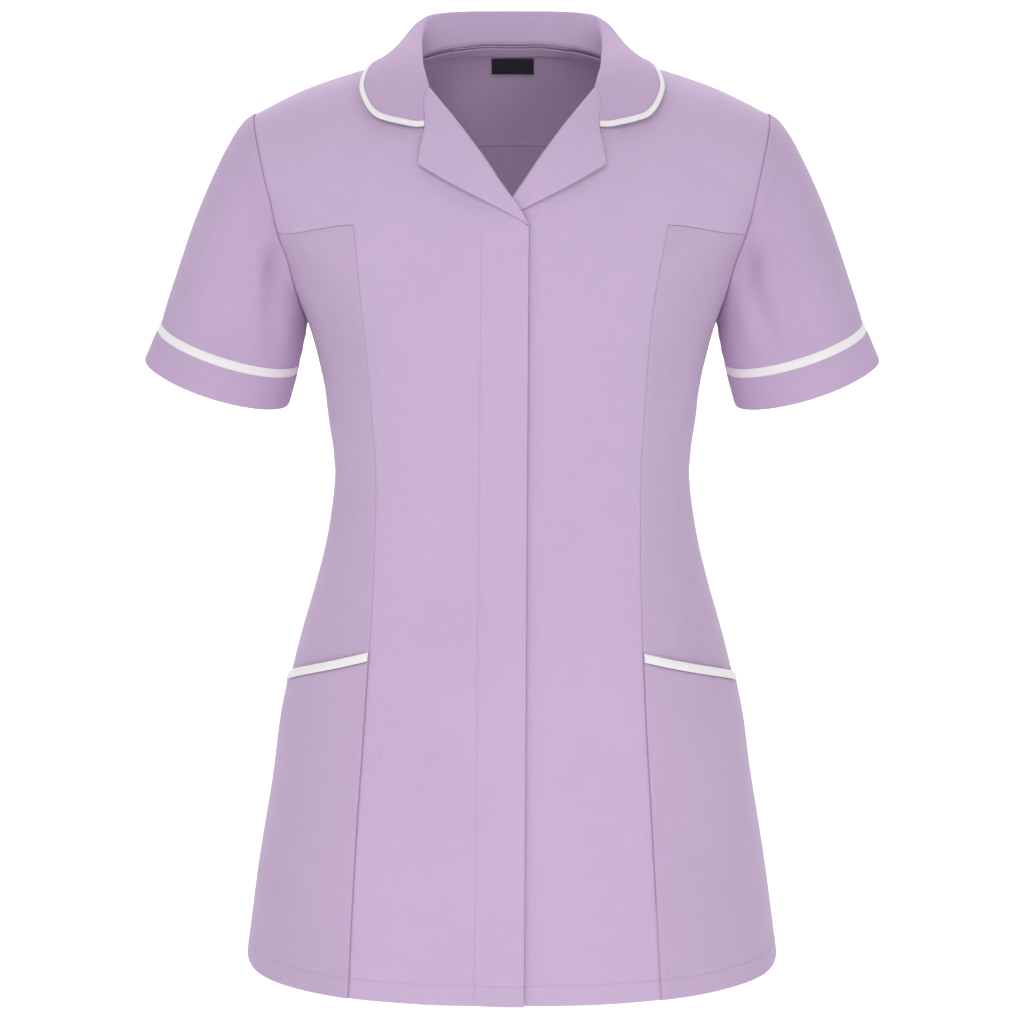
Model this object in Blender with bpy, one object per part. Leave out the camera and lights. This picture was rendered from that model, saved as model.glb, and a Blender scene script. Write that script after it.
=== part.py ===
# A nurse's tunic: revere collar, concealed fly front, princess seams, short set-in sleeves.
# Every piece of cloth is a thin closed wall, cut and joined where the real pieces are sewn.
#
# Metres, +Z up. The front faces -Y, and +X is the wearer's left. The origin lies on the
# shoulder line, in the middle of the neck opening, where the wearer's shoulders hold it up.
# Heights named "up" are measured from the hem, as a tunic's length is.

import math

import bmesh
import bpy
import numpy as np

# ---- driving sizes ----------------------------------------------------------------------
SHOULDER_UP = 0.700        # from the hem to the shoulder line beside the neck
CLOTH = 0.0012             # one piece of cloth with its seam allowance pressed flat
HEM_DEPTH = 0.016
HEM_EXTRA = 0.0007         # the turned-up hem is thicker, on the inside
HALF_GAP = 0.00016         # each piece keeps this far inside its seam line
LAYER_GAP = 0.0004         # between a piece and the one that it lies on
SHARP_FROM = math.radians(42)   # edges sharper than this are shaded as edges
CORNER_LIMIT = 0.6         # a sharp corner is drawn in no further than this allows

PEAK_UP = 0.560            # above this the body closes towards the shoulder ridge
RIDGE_LEVEL = 0.700        # the level that stands for the shoulder ridge
ROUNDNESS = 2.35           # of the body's cross-section: 2 is an ellipse
SHOULDER_ROUNDNESS = 2.5
NECK_PULL = 0.0021         # the collar's stand passes through the neck edge
ROLL_PULL = 0.0024         # the lapel folds round the front's edge
GORGE_PULL = 0.0012        # the lapel's turn and the collar's stand end short of each other
GORGE_HALF_GAP = 0.00025
EDGE_PULL = 0.0007         # the collar's thicker edge ends short of the lapel's corner

BREAK_UP = 0.588           # where the lapels start to roll
OVERLAP = 0.0125           # the right front runs this far past the centre at the break
HEM_OVERLAP = 0.0090       # and this far at the hem
FLY_WIDTH = 0.0385         # from the front's edge to the fly's stitching
FLY_RAMP = 0.0190          # the fly's cloth rises over this width inside its stitching
FLY_RISE = 0.0025          # how far the right front stands out over the left one
LEFT_SINK = 0.0014

BAND_WIDTH = 0.0070        # white bands on sleeves and pockets
BAND_CLOTH = 0.0015
BAND_PROUD = 0.0004        # they stand out this far over the cloth beside them
CUFF_PROUD = 0.0011
POCKET_IN_UP = 0.2619      # the pocket mouth's top at the princess seam
POCKET_OUT_UP = 0.2244     # and at the side seam
POCKET_BOW = 0.0022        # it stands open a little
BOW_BELOW = 0.4            # this share of it is left at the white mouth's lower edge
EDGE_WIDTH = 0.0055        # white edge round the collar's leaf
CUFF_CLOTH = 0.0018
COLLAR_CLOTH = 0.0016
LAPEL_CLOTH = 0.0015

LILAC = (0.560, 0.430, 0.610)
LILAC_SHADE = (0.520, 0.395, 0.570)
WHITE = (0.880, 0.860, 0.870)
BLACK = (0.020, 0.021, 0.023)

# The body by height: half its width at the side seams, and its depth in front and behind.
BODY_LEVELS = [
    # up,   half_width, front, back
    (0.000, 0.2068, 0.1490, 0.142),
    (0.060, 0.1990, 0.1420, 0.140),
    (0.138, 0.1865, 0.1335, 0.138),
    (0.203, 0.1768, 0.1255, 0.134),
    (0.251, 0.1655, 0.118, 0.125),
    (0.298, 0.1520, 0.109, 0.113),
    (0.340, 0.1420, 0.102, 0.101),
    (0.380, 0.1372, 0.099, 0.094),
    (0.420, 0.1405, 0.104, 0.095),
    (0.460, 0.1458, 0.113, 0.100),
    (0.502, 0.1560, 0.121, 0.106),
    (0.560, 0.1830, 0.121, 0.110),
    (0.604, 0.2010, 0.119, 0.110),
    (0.650, 0.2190, 0.113, 0.110),
    (0.700, 0.2330, 0.104, 0.108),
]
# Height of the shoulder ridge by distance from the centre; it runs on into the neck.
RIDGE = [
    # out,  up
    (-0.020, 0.7325),
    (0.000, 0.7355),
    (0.020, 0.7325),
    (0.045, 0.7190),
    (0.072, 0.7020),
    (0.101, 0.6962),
    (0.128, 0.6885),
    (0.158, 0.6778),
    (0.196, 0.6590),
    (0.240, 0.6340),
]
# The armhole seam, from the underarm to the shoulder point.
ARMHOLE = [
    # up,   out
    (0.5020, 0.1560),
    (0.5160, 0.1600),
    (0.5400, 0.1668),
    (0.5750, 0.1760),
    (0.6050, 0.1832),
    (0.6350, 0.1902),
    (0.6590, 0.1960),
]
# The princess seam of the right front, and of both halves of the back.
PRINCESS = [
    # up,   out
    (0.000, 0.1245),
    (0.116, 0.1185),
    (0.230, 0.1103),
    (0.303, 0.1058),
    (0.391, 0.1036),
    (0.454, 0.1066),
    (0.531, 0.1128),
    (0.587, 0.1174),
]
# The left front's princess seam lies nearer to the centre.
PRINCESS_LEFT_FRONT = [
    # up,   out
    (0.000, 0.1133),
    (0.116, 0.1068),
    (0.230, 0.1004),
    (0.303, 0.0978),
    (0.391, 0.0978),
    (0.454, 0.1002),
    (0.531, 0.1058),
    (0.587, 0.1158),
]
PRINCESS_TOP_UP = 0.587    # the cross seam runs from here
CROSS_SEAM_UP = 0.575      # to here at the armhole
YOKE_SEAM_UP = 0.626       # at the centre back
# The roll line of a lapel, from the break to the gorge, out from the centre on its own side.
ROLL = [
    # up,    out
    (0.5880, -0.0125),
    (0.5998, -0.0066),
    (0.6118, 0.0024),
    (0.6423, 0.0240),
    (0.6681, 0.0452),
    (0.6850, 0.0615),
]
NECK_SIDE_OUT = 0.0725     # the neck seam crosses the shoulder ridge here
NECK_BACK_UP = 0.7075      # and the centre back here
NECK_CURVE = 0.8           # below 1 the front neck seam stays low longer

ROW_UPS = [0.0, HEM_DEPTH, 0.060, 0.115, 0.170, 0.208, 0.255, 0.298, 0.340, 0.380, 0.420,
           0.460, 0.502, 0.515, 0.530, 0.545, 0.560, 0.574, PRINCESS_TOP_UP]
UNDERARM_ROW = ROW_UPS.index(0.502)
FRONT_PLACES = [0.0, 0.11, 0.20, 0.29, 0.44, 0.70, 1.0]   # front edge to princess seam
FRONT_COLUMNS = len(FRONT_PLACES) - 1
BACK_COLUMNS = 6           # from the princess seam to the centre back
SIDE_COLUMNS = 7           # and from there to the side
UPPER_ROWS = 9             # from the cross seam to the shoulder ridge
UPPER_CROWDING = 0.9       # below 1 the first of them are taller
YOKE_ROW = 3               # the yoke seam meets the armhole this many of them up
GORGE_SHARE = 6 / 9        # the roll line takes this share of the rows, the neck seam the rest
YOKE_COLUMNS = SIDE_COLUMNS + BACK_COLUMNS
NECK_COLUMNS = 6           # of them along the back neck, on each side
SLEEVE_PLACES = [0.0, 0.05, 0.13, 0.24, 0.37, 0.52, 0.68, 0.85, 1.0]   # armhole to band

# Soft hollows and ridges pressed into the body by the way it hangs.
BODY_FOLDS = [
    # out,   up,    run_out, run_up, width, depth (negative is a hollow)
    (-0.150, 0.615, 0.60, -0.80, 0.010, -0.0022),
    (0.150, 0.612, -0.60, -0.80, 0.010, -0.0022),
    (-0.128, 0.480, 0.25, -0.97, 0.013, -0.0015),
    (0.126, 0.472, -0.25, -0.97, 0.013, -0.0015),
    (-0.060, 0.395, 0.97, -0.22, 0.012, -0.0010),
    (0.064, 0.402, -0.97, -0.22, 0.012, -0.0010),
]
FOLD_LENGTH = 0.055
BUST = {"depth": 0.006, "out": 0.078, "width": 0.05, "up": 0.520, "height": 0.055}
FRONT_FADE = 4             # the front's relief fades where the cosine of theta nears nothing

# The top of the collar's fold, from the gorge to the centre back.
FOLD_LINE = [
    # share, out,    y,       up
    (0.00, 0.0625, -0.0700, 0.6855),
    (0.09, 0.0652, -0.0578, 0.6938),
    (0.18, 0.0678, -0.0425, 0.7010),
    (0.27, 0.0690, -0.0250, 0.7072),
    (0.36, 0.0697, -0.0070, 0.7120),
    (0.46, 0.0698, 0.0120, 0.7175),
    (0.57, 0.0690, 0.0320, 0.7228),
    (0.69, 0.0668, 0.0515, 0.7288),
    (0.81, 0.0570, 0.0695, 0.7308),
    (0.91, 0.0330, 0.0815, 0.7314),
    (1.00, 0.0000, 0.0850, 0.7314),
]
# Its leaf's edge, which lies on the body at a lean from -1, the chest, to 1, the back.
LEAF_EDGE = [
    # share, out,    lean,   lift
    (0.000, 0.0638, -0.832, 0.0022),
    (0.050, 0.0775, -0.812, 0.0023),
    (0.100, 0.0911, -0.791, 0.0025),
    (0.140, 0.1003, -0.765, 0.0026),
    (0.175, 0.1062, -0.717, 0.0027),
    (0.210, 0.1100, -0.650, 0.0028),
    (0.250, 0.1121, -0.574, 0.0028),
    (0.310, 0.1115, -0.460, 0.0028),
    (0.370, 0.1085, -0.300, 0.0027),
    (0.430, 0.1048, -0.142, 0.0026),
    (0.500, 0.1030, 0.020, 0.0026),
    (0.600, 0.1010, 0.220, 0.0028),
    (0.720, 0.0930, 0.430, 0.0030),
    (0.840, 0.0690, 0.640, 0.0030),
    (0.920, 0.0390, 0.772, 0.0030),
    (0.965, 0.0170, 0.812, 0.0030),
    (1.000, 0.0000, 0.818, 0.0030),
]
RIDGE_SHARE = 0.40         # the neck seam crosses the shoulder ridge here
COLLAR_STEPS = 22          # cells along each half
STAND_SHARES = [0.0, 0.45, 0.78, 0.93]
LEAF_SHARES = [0.0, 0.07, 0.2, 0.4, 0.6, 0.8, 1.0]
STAND_FOOT = 0.0009        # the stand reaches this far through the neck edge
FOLD_IN = 0.0035           # how far the fold's curve reaches to the stand's side
FOLD_OUT = 0.0160          # and to the leaf's side
FOLD_RUN = 0.01            # the fold's direction is read over this share on each side
FOLD_LEVEL = 0.75          # this much of the fall is left out of the fold's way outwards
FOLD_SHORT = 0.12          # except nearer to the gorge than this share
FOLD_SHORT_MIX = 0.4
STAND_PULL = 0.4           # handles of the section's curves, as shares of their heights
LEAF_PULL = 0.4
EDGE_HANDLE = 0.35
COLLAR_CROWDING = 1.25     # above 1 the cells are closer together at the gorge

# A lapel's outer edge, by the share of the way down the roll line.
LAPEL_EDGE = [
    # share, out,    up
    (0.000, 0.0636, 0.6587),
    (0.280, 0.0687, 0.6312),
    (0.520, 0.0451, 0.6190),
    (0.800, 0.0108, 0.6022),
    (0.930, -0.0068, 0.5932),
    (1.000, -0.0112, 0.5893),
]
LAPEL_TIP = 0.280
LAPEL_RIGHT_END = 0.975
LAPEL_LEFT_END = 0.880     # it goes on under the right front, out of sight
# A lapel's section inside the roll: reach is the distance from the roll line, and lift is
# from the front's outside to the middle of the lapel's cloth.
LAPEL_TURN = [
    # reach,  lift
    (0.0075, -0.0030),
    (0.0040, -0.0030),
    (0.0018, -0.0027),
    (0.0005, -0.0016),
    (0.0000, 0.0000),
    (0.0004, 0.0014),
]
# Outside it the section has the collar leaf's own points, from the roll to the edge.
LAPEL_LIFT = [
    # share, lift
    (0.00, 0.0024),
    (0.20, 0.0031),
    (0.60, 0.0024),
    (1.00, 0.0019),
]
LAPEL_ROLL_REACH = 0.0014
LAPEL_NEAR = 0.3           # a reach takes no more than this share of the lapel's width
LAPEL_TIP_ROWS = 4         # rows from the gorge to the lapel's tip
LAPEL_ROWS = 9             # and from there to its end
FLAT_REACH = 0.0006        # the right lapel's turn, where it has shortened
FLAT_STEP = 0.0002         # and between its points, where it lies flat
TURN_END = (0.40, 0.55)    # down the roll line the turn inside shortens to nothing
ROLL_END = (0.55, 0.73)    # and the roll flattens under the crossing of the fronts

TAPE_DROP = (0.0020, 0.0090)   # its edges below the back neck seam
TAPE_CLOTH = 0.0010
TAPE_GAP = 0.0012          # the yoke bends more than the tape between its points
TAPE_FROM = 0.25           # share of the way from the shoulder to the centre back
LABEL = {"left": -0.0162, "right": 0.0172, "top": 0.6972, "bottom": 0.6845, "thick": 0.0010}
LABEL_GAP = 0.0010
LABEL_CELLS = (3, 4)       # up and across

# Sleeve: the ring at the top of the white band and the one at the cuff's edge.
SLEEVE_END = {"out": 0.2163, "up": 0.4842, "wide": 0.0552, "deep": 0.0450}
CUFF_END = {"out": 0.2262, "up": 0.4545, "wide": 0.0572, "deep": 0.0500}
CUFF_SLANT = math.radians(17.0)
CUFF_DIP = math.radians(8.0)
# How the sleeve's lengthwise curves set off from the armhole and come in to the band: each
# pair is for the underarm and for the shoulder.
LEAVE_OUT = (0.20, 0.84)
LEAVE_DOWN = (0.98, 0.35)
LEAVE_FORWARD = 0.16
LEAVE_PULL = (0.90, 0.50)
ARRIVE_PULL = (1.00, 0.52)
HEAD_FROM = 0.35           # the roundness of the sleeve's head, from here up
HEAD_RAMP = 0.40
HEAD_RISE = 0.0012
HEAD_LENGTH = 0.18
FOLDS_START = 0.06         # the folds begin over this share of the sleeve's length
FOLDS_END = 0.15           # and end over this share before the band
MITRE_FROM = 0.35          # the sleeve and the body share a mitre where their normals agree
MITRE_RAMP = 0.35
MITRE_LIMIT = 0.8
# Soft hollows and ridges of a sleeve, by place round it and down it.
SLEEVE_FOLDS = [
    # front, round, down, slant, round_width, length, depth
    (1, 0.36, 0.16, 0.10, 0.10, 0.30, -0.0050),
    (1, 0.62, 0.45, -0.12, 0.09, 0.45, -0.0026),
    (1, 0.48, 0.60, 0.06, 0.07, 0.40, 0.0024),
    (-1, 0.38, 0.20, 0.12, 0.10, 0.34, -0.0046),
    (-1, 0.60, 0.55, -0.10, 0.09, 0.42, -0.0024),
]


def smooth_curve(rows):
    """A smooth function through a table's rows: its first column gives all the others."""
    table = np.array(rows, float)
    keys = table[:, 0]
    values = table[:, 1:]
    slopes = np.gradient(values, keys, axis=0)

    def read(key):
        place = float(np.clip(key, keys[0], keys[-1]))
        i = int(np.clip(np.searchsorted(keys, place) - 1, 0, len(keys) - 2))
        span = keys[i + 1] - keys[i]
        t = (place - keys[i]) / span
        stay = (1 + 2 * t) * (1 - t) ** 2
        leave = t * (1 - t) ** 2
        reach = t * t * (3 - 2 * t)
        arrive = t * t * (t - 1)
        return (stay * values[i] + leave * span * slopes[i]
                + reach * values[i + 1] + arrive * span * slopes[i + 1])

    return read


def unit(vector):
    length = np.linalg.norm(vector, axis=-1, keepdims=True)
    return vector / np.maximum(length, 1e-12)


def mix(a, b, t):
    return a + (b - a) * t


def ease(t):
    t = np.clip(t, 0.0, 1.0)
    return t * t * (3 - 2 * t)


body_at = smooth_curve(BODY_LEVELS)
ridge_at = smooth_curve(RIDGE)
armhole_out = smooth_curve(ARMHOLE)
back_princess_out = smooth_curve(PRINCESS)
front_princess_out = {-1: smooth_curve(PRINCESS), 1: smooth_curve(PRINCESS_LEFT_FRONT)}
roll_out = smooth_curve(ROLL)
fold_at = smooth_curve(FOLD_LINE)
leaf_at = smooth_curve(LEAF_EDGE)
lapel_lift = smooth_curve(LAPEL_LIFT)


# ---- the body's form --------------------------------------------------------------------
# A point of the cloth's outside is named by theta, its angle from the centre front, and by
# level: its height, which above PEAK_UP is stretched so that the ridge is RIDGE_LEVEL.

def section_radius(theta, half_width, depth):
    across = abs(math.sin(theta)) / half_width
    along = abs(math.cos(theta)) / depth
    return (across ** ROUNDNESS + along ** ROUNDNESS) ** (-1 / ROUNDNESS)


def closing(w):
    """How far the section has closed at the share w of the way to the ridge."""
    w = min(max(w, 0.0), 1.0)
    return (1 - w ** SHOULDER_ROUNDNESS) ** (1 / SHOULDER_ROUNDNESS)


def fold_depth(x, up):
    total = 0.0
    for out, mid_up, run_out, run_up, width, depth in BODY_FOLDS:
        along = (x - out) * run_out + (up - mid_up) * run_up
        across = (x - out) * run_up - (up - mid_up) * run_out
        total += depth * math.exp(-(across / width) ** 2 - (along / FOLD_LENGTH) ** 2)
    return total


def body_point(theta, level):
    """A point of the body's outside, with z measured from the origin."""
    half_width, front, back = body_at(level)
    depth = front if math.cos(theta) > 0 else back
    radius = section_radius(theta, half_width, depth)
    x = radius * math.sin(theta)
    w = (level - PEAK_UP) / (RIDGE_LEVEL - PEAK_UP)
    far_side = 1.0
    if w > 1:
        w = 2 - w
        far_side = -1.0
    up = level
    if w > 0:
        up = PEAK_UP + w * (ridge_at(abs(x))[0] - PEAK_UP)
    y = -far_side * radius * math.cos(theta) * closing(w)
    if math.cos(theta) > 0:
        across = (abs(x) - BUST["out"]) / BUST["width"]
        along = (up - BUST["up"]) / BUST["height"]
        relief = BUST["depth"] * math.exp(-across ** 2 - along ** 2) + fold_depth(x, up)
        y -= relief * min(1.0, FRONT_FADE * math.cos(theta)) * closing(w)
    return np.array([x, y, up - SHOULDER_UP])


def body_normal(theta, level):
    step = 1e-4
    along = body_point(theta + step * 5, level) - body_point(theta - step * 5, level)
    rise = body_point(theta, level + step) - body_point(theta, level - step)
    return unit(np.cross(along, rise))


def chart(x, up, behind=False):
    """theta and level of the outside's point at x and this height, in front or behind."""
    out = abs(x)
    level = up
    if up > PEAK_UP:
        w = (up - PEAK_UP) / (ridge_at(out)[0] - PEAK_UP)
        level = PEAK_UP + min(w, 1.0) * (RIDGE_LEVEL - PEAK_UP)
    half_width, front, back = body_at(level)
    depth = back if behind else front
    share = min(out / half_width, 1.0)
    theta = math.atan2(out, depth * (1 - share ** ROUNDNESS) ** (1 / ROUNDNESS))
    if behind:
        theta = math.pi - theta
    return math.copysign(theta, x), level


def ridge_chart(x, behind=False):
    return chart(x, ridge_at(abs(x))[0], behind)


def lean_of(x, up):
    w = (up - PEAK_UP) / (ridge_at(abs(x))[0] - PEAK_UP)
    return closing(w)


def lean_chart(x, lean):
    """theta and level by lean: -1 on the chest, 0 on the shoulder ridge, 1 on the back."""
    w = (1 - min(abs(lean), 1.0) ** SHOULDER_ROUNDNESS) ** (1 / SHOULDER_ROUNDNESS)
    up = PEAK_UP + w * (ridge_at(abs(x))[0] - PEAK_UP)
    return chart(x, up, lean > 0)


# ---- cloth walls ------------------------------------------------------------------------

def wall_faces(rows, cols, cells, ring):
    faces = []
    for i in range(rows - 1):
        for j in range(cols if ring else cols - 1):
            if cells is None or cells[i, j]:
                k = (j + 1) % cols
                faces.append((i * cols + j, i * cols + k, (i + 1) * cols + k, (i + 1) * cols + j))
    return faces


def draw_in(points, normals, faces, pull):
    """Moves the open edges of a sheet of faces inwards along the sheet, by pull at each point."""
    edges = {}
    for face in faces:
        for a, b in zip(face, face[1:] + face[:1]):
            edges[(a, b)] = face
    rim = [edge for edge in edges if (edge[1], edge[0]) not in edges]
    inward = {}
    for a, b in rim:
        for point in (a, b):
            side = unit(np.cross(normals[point], points[b] - points[a]))
            inward.setdefault(point, []).append(side)
    moves = np.zeros_like(points)
    for point, sides in inward.items():
        if len(sides) == 2:
            share = max(1 + float(np.dot(sides[0], sides[1])), CORNER_LIMIT)
            moves[point] = (sides[0] + sides[1]) / share * pull[point]
    return moves, rim


def cloth(name, outer, normals, thick, cells=None, pull=None, ring=False):
    """A closed wall between the outer points and the same points moved in along the normals."""
    rows, cols = outer.shape[:2]
    count = rows * cols
    points = outer.reshape(count, 3)
    normals = normals.reshape(count, 3)
    depth = np.broadcast_to(np.asarray(thick, float).reshape(-1), (count,))
    reach = np.full(count, HALF_GAP) if pull is None else pull.reshape(count)
    faces = wall_faces(rows, cols, cells, ring)
    turn = 0.0
    for a, b, c, d in faces:
        turn += float(np.dot(np.cross(points[c] - points[a], points[d] - points[b]), normals[a]))
    if turn < 0:
        faces = [face[::-1] for face in faces]
    moves, rim = draw_in(points, normals, faces, reach)
    outside = points + moves
    inside = outside - normals * depth[:, None]

    mesh = bmesh.new()
    front = {}
    back = {}
    for index in sorted({index for face in faces for index in face}):
        front[index] = mesh.verts.new(outside[index])
        back[index] = mesh.verts.new(inside[index])
    for face in faces:
        mesh.faces.new([front[index] for index in face])
        mesh.faces.new([back[index] for index in reversed(face)])
    for a, b in rim:
        mesh.faces.new([front[b], front[a], back[a], back[b]])
    return finish(name, mesh)


def finish(name, mesh):
    data = bpy.data.meshes.new(name)
    mesh.to_mesh(data)
    mesh.free()
    data.shade_smooth()
    data.set_sharp_from_angle(angle=SHARP_FROM)
    piece = bpy.data.objects.new(name, data)
    tunic.objects.link(piece)
    return piece


def body_wall(name, charts, lift=None, thick=CLOTH, cells=None, pull=None, mitre=None):
    """A wall on the body, from a grid of (theta, level), moved out by lift."""
    rows = len(charts)
    cols = len(charts[0])
    outer = np.zeros((rows, cols, 3))
    normals = np.zeros((rows, cols, 3))
    for i in range(rows):
        for j in range(cols):
            outer[i, j] = body_point(*charts[i][j])
            normals[i, j] = body_normal(*charts[i][j])
    if lift is not None:
        outer = outer + normals * np.asarray(lift)[..., None]
    if mitre:
        for (i, j), direction in mitre.items():
            normals[i, j] = direction
    return cloth(name, outer, normals, thick, cells, pull)


def material(name, colour, roughness=0.85):
    finish_of = bpy.data.materials.new(name)
    finish_of.use_nodes = True
    shader = finish_of.node_tree.nodes["Principled BSDF"]
    shader.inputs["Base Color"].default_value = (*colour, 1.0)
    shader.inputs["Roughness"].default_value = roughness
    shader.inputs["Metallic"].default_value = 0.0
    return finish_of


# ---- the armhole, shared by the body's panels and the sleeve ------------------------------

def side_up(up):
    """The height at the side or armhole of the row that is at this height on the princess seam."""
    if up <= ROW_UPS[UNDERARM_ROW]:
        return up
    share = (up - ROW_UPS[UNDERARM_ROW]) / (PRINCESS_TOP_UP - ROW_UPS[UNDERARM_ROW])
    return mix(ROW_UPS[UNDERARM_ROW], CROSS_SEAM_UP, share)


def upper_share(i):
    """Rows above the cross seam are closer together towards the ridge."""
    return math.sin(0.5 * math.pi * i / UPPER_ROWS) ** UPPER_CROWDING


def armhole_ups():
    lower = [side_up(up) for up in ROW_UPS[UNDERARM_ROW:]]
    top = ARMHOLE[-1][0]
    upper = [mix(CROSS_SEAM_UP, top, upper_share(i)) for i in range(1, UPPER_ROWS + 1)]
    return lower + upper


def armhole_charts(behind):
    """theta and level up one side of the left armhole, from the underarm to the ridge."""
    charts = []
    for up in armhole_ups():
        charts.append(chart(armhole_out(up)[0], up, behind))
    half_turn = math.pi / 2
    charts[0] = (half_turn, charts[0][1])
    charts[-1] = ridge_chart(armhole_out(ARMHOLE[-1][0])[0], behind)
    return charts


def armhole_loop():
    """The left armhole's points: up the front to the shoulder and down the back."""
    front = armhole_charts(False)
    back = armhole_charts(True)
    return front + back[-2:0:-1]


def ring_point(ring, angle):
    """A point of a sleeve's ring: angle 0 is outermost, and a quarter turn is in front."""
    across = np.array([math.cos(CUFF_SLANT), 0.0, math.sin(CUFF_SLANT)])
    forward = np.array([0.0, -math.cos(CUFF_DIP), -math.sin(CUFF_DIP)])
    centre = np.array([ring["out"], 0.0, ring["up"] - SHOULDER_UP])
    return (centre + across * ring["wide"] * math.cos(angle)
            + forward * ring["deep"] * math.sin(angle))


SLEEVE_AXIS = np.array([math.sin(CUFF_SLANT), 0.0, -math.cos(CUFF_SLANT)])


def ring_angles(loop):
    """The cuff angle of each armhole point, by its share of the way round."""
    steps = np.linalg.norm(np.roll(loop, -1, axis=0) - loop, axis=1)
    top = len(loop) // 2
    front = np.concatenate([[0.0], np.cumsum(steps[:top])]) / steps[:top].sum()
    back = np.concatenate([[0.0], np.cumsum(steps[top:])]) / steps[top:].sum()
    angles = [math.pi * (1 - share) for share in front]
    angles += [-math.pi * share for share in back[1:-1]]
    return angles


def sleeve_surface(loop, angles, i, down):
    """A point of the left sleeve at armhole point i: down is 0 at the armhole, 1 at the band."""
    start = loop[i]
    angle = angles[i]
    end = ring_point(SLEEVE_END, angle)
    rise = 0.5 + 0.5 * math.cos(angle)
    in_front = math.sin(angle)
    leave = unit(np.array([mix(*LEAVE_OUT, rise ** 0.8), -LEAVE_FORWARD * in_front,
                           -mix(*LEAVE_DOWN, rise ** 2)]))
    span = np.linalg.norm(end - start)
    leave = leave * span * mix(*LEAVE_PULL, rise ** 2)
    arrive = SLEEVE_AXIS * span * mix(*ARRIVE_PULL, rise)
    stay = (1 + 2 * down) * (1 - down) ** 2
    reach = down * down * (3 - 2 * down)
    return (start * stay + leave * down * (1 - down) ** 2
            + end * reach - arrive * down * down * (1 - down))


def sleeve_relief(angle, down):
    """The sleeve head's roundness and its soft folds, out from the plain surface."""
    rise = 0.5 + 0.5 * math.cos(angle)
    total = HEAD_RISE * ease((rise - HEAD_FROM) / HEAD_RAMP) * math.exp(-(down / HEAD_LENGTH) ** 2)
    fade = min(1.0, down / FOLDS_START) * min(1.0, (1 - down) / FOLDS_END)
    side = 1 if math.sin(angle) >= 0 else -1
    for front, place, middle, slant, width, length, depth in SLEEVE_FOLDS:
        if front == side:
            across = (rise_share(angle) - place - slant * (down - middle)) / width
            along = (down - middle) / length
            total += depth * fade * math.exp(-across ** 2 - along ** 2)
    return total


def rise_share(angle):
    """0 at the underarm, 1 at the shoulder."""
    return 1 - abs(angle) / math.pi


def sleeve_grid():
    """Outer points and normals of the left sleeve, and the mitre shared with the body."""
    charts = armhole_loop()
    loop = np.array([body_point(*place) for place in charts])
    body_normals = np.array([body_normal(*place) for place in charts])
    angles = ring_angles(loop)
    count = len(loop)
    plain = np.array([[sleeve_surface(loop, angles, i, down) for i in range(count)]
                      for down in SLEEVE_PLACES])
    slope = np.array([[sleeve_surface(loop, angles, i, down + 1e-3) for i in range(count)]
                      for down in SLEEVE_PLACES]) - plain
    around = np.roll(plain, -1, axis=1) - np.roll(plain, 1, axis=1)
    normals = unit(np.cross(around, slope))
    middle = plain.mean(axis=1, keepdims=True)
    facing = np.sum(normals * (plain - middle), axis=2).sum()
    if facing < 0:
        normals = -normals
    mitre = []
    for i in range(count):
        shared = body_normals[i] + normals[0, i]
        size = np.linalg.norm(shared) / 2
        trust = float(ease((size - MITRE_FROM) / MITRE_RAMP))
        middle_way = unit(shared) / max(size, MITRE_LIMIT)
        mitre.append((mix(body_normals[i], middle_way, trust), mix(normals[0, i], middle_way, trust)))
    relief = np.array([[sleeve_relief(angle, down) for angle in angles] for down in SLEEVE_PLACES])
    normals[0] = np.array([pair[1] for pair in mitre])
    outer = plain + normals * relief[..., None]
    body_mitre = [pair[0] for pair in mitre]
    return outer, normals, angles, body_mitre


SLEEVE_OUTER, SLEEVE_NORMALS, SLEEVE_ANGLES, BODY_MITRE = sleeve_grid()


def mitre_for(step, side, behind):
    """The direction through the cloth at the step-th armhole point above the underarm."""
    index = step if not behind else -step
    direction = BODY_MITRE[index].copy()
    direction[0] *= side
    return direction


# ---- fronts -----------------------------------------------------------------------------

def front_charts(side):
    """The grid of one front with its side front: rows from the hem to the shoulder ridge."""
    rows = []
    for up in ROW_UPS:
        outer_up = side_up(up)
        near = chart(-side * mix(HEM_OVERLAP, OVERLAP, min(up / BREAK_UP, 1.0)), up)
        seam = chart(side * front_princess_out[side](up)[0], up)
        far = chart(side * armhole_out(outer_up)[0], outer_up)
        if outer_up <= ROW_UPS[UNDERARM_ROW]:
            far = (side * math.pi / 2, outer_up)
        row = []
        for t in FRONT_PLACES:
            row.append((mix(near[0], seam[0], t), mix(near[1], seam[1], t)))
        for j in range(1, SIDE_COLUMNS + 1):
            t = j / SIDE_COLUMNS
            row.append((mix(seam[0], far[0], t), mix(seam[1], far[1], ease(t))))
        rows.append(row)
    return rows + upper_charts(side, rows[-1])


def neck_chart(side, share):
    """The front neck seam, from the gorge to the shoulder ridge."""
    gorge_up, gorge_out = ROLL[-1]
    out = mix(gorge_out, NECK_SIDE_OUT, math.sin(0.5 * math.pi * share))
    lean = -lean_of(gorge_out, gorge_up) * (1 - share) ** NECK_CURVE
    return lean_chart(side * out, lean)


def neckline_chart(side, t):
    """The front's inner edge above the break: the roll line, then the neck seam."""
    if t <= GORGE_SHARE:
        up = mix(BREAK_UP, ROLL[-1][0], t / GORGE_SHARE)
        return chart(side * roll_out(up)[0], up)
    share = (t - GORGE_SHARE) / (1 - GORGE_SHARE)
    return neck_chart(side, share)


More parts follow.
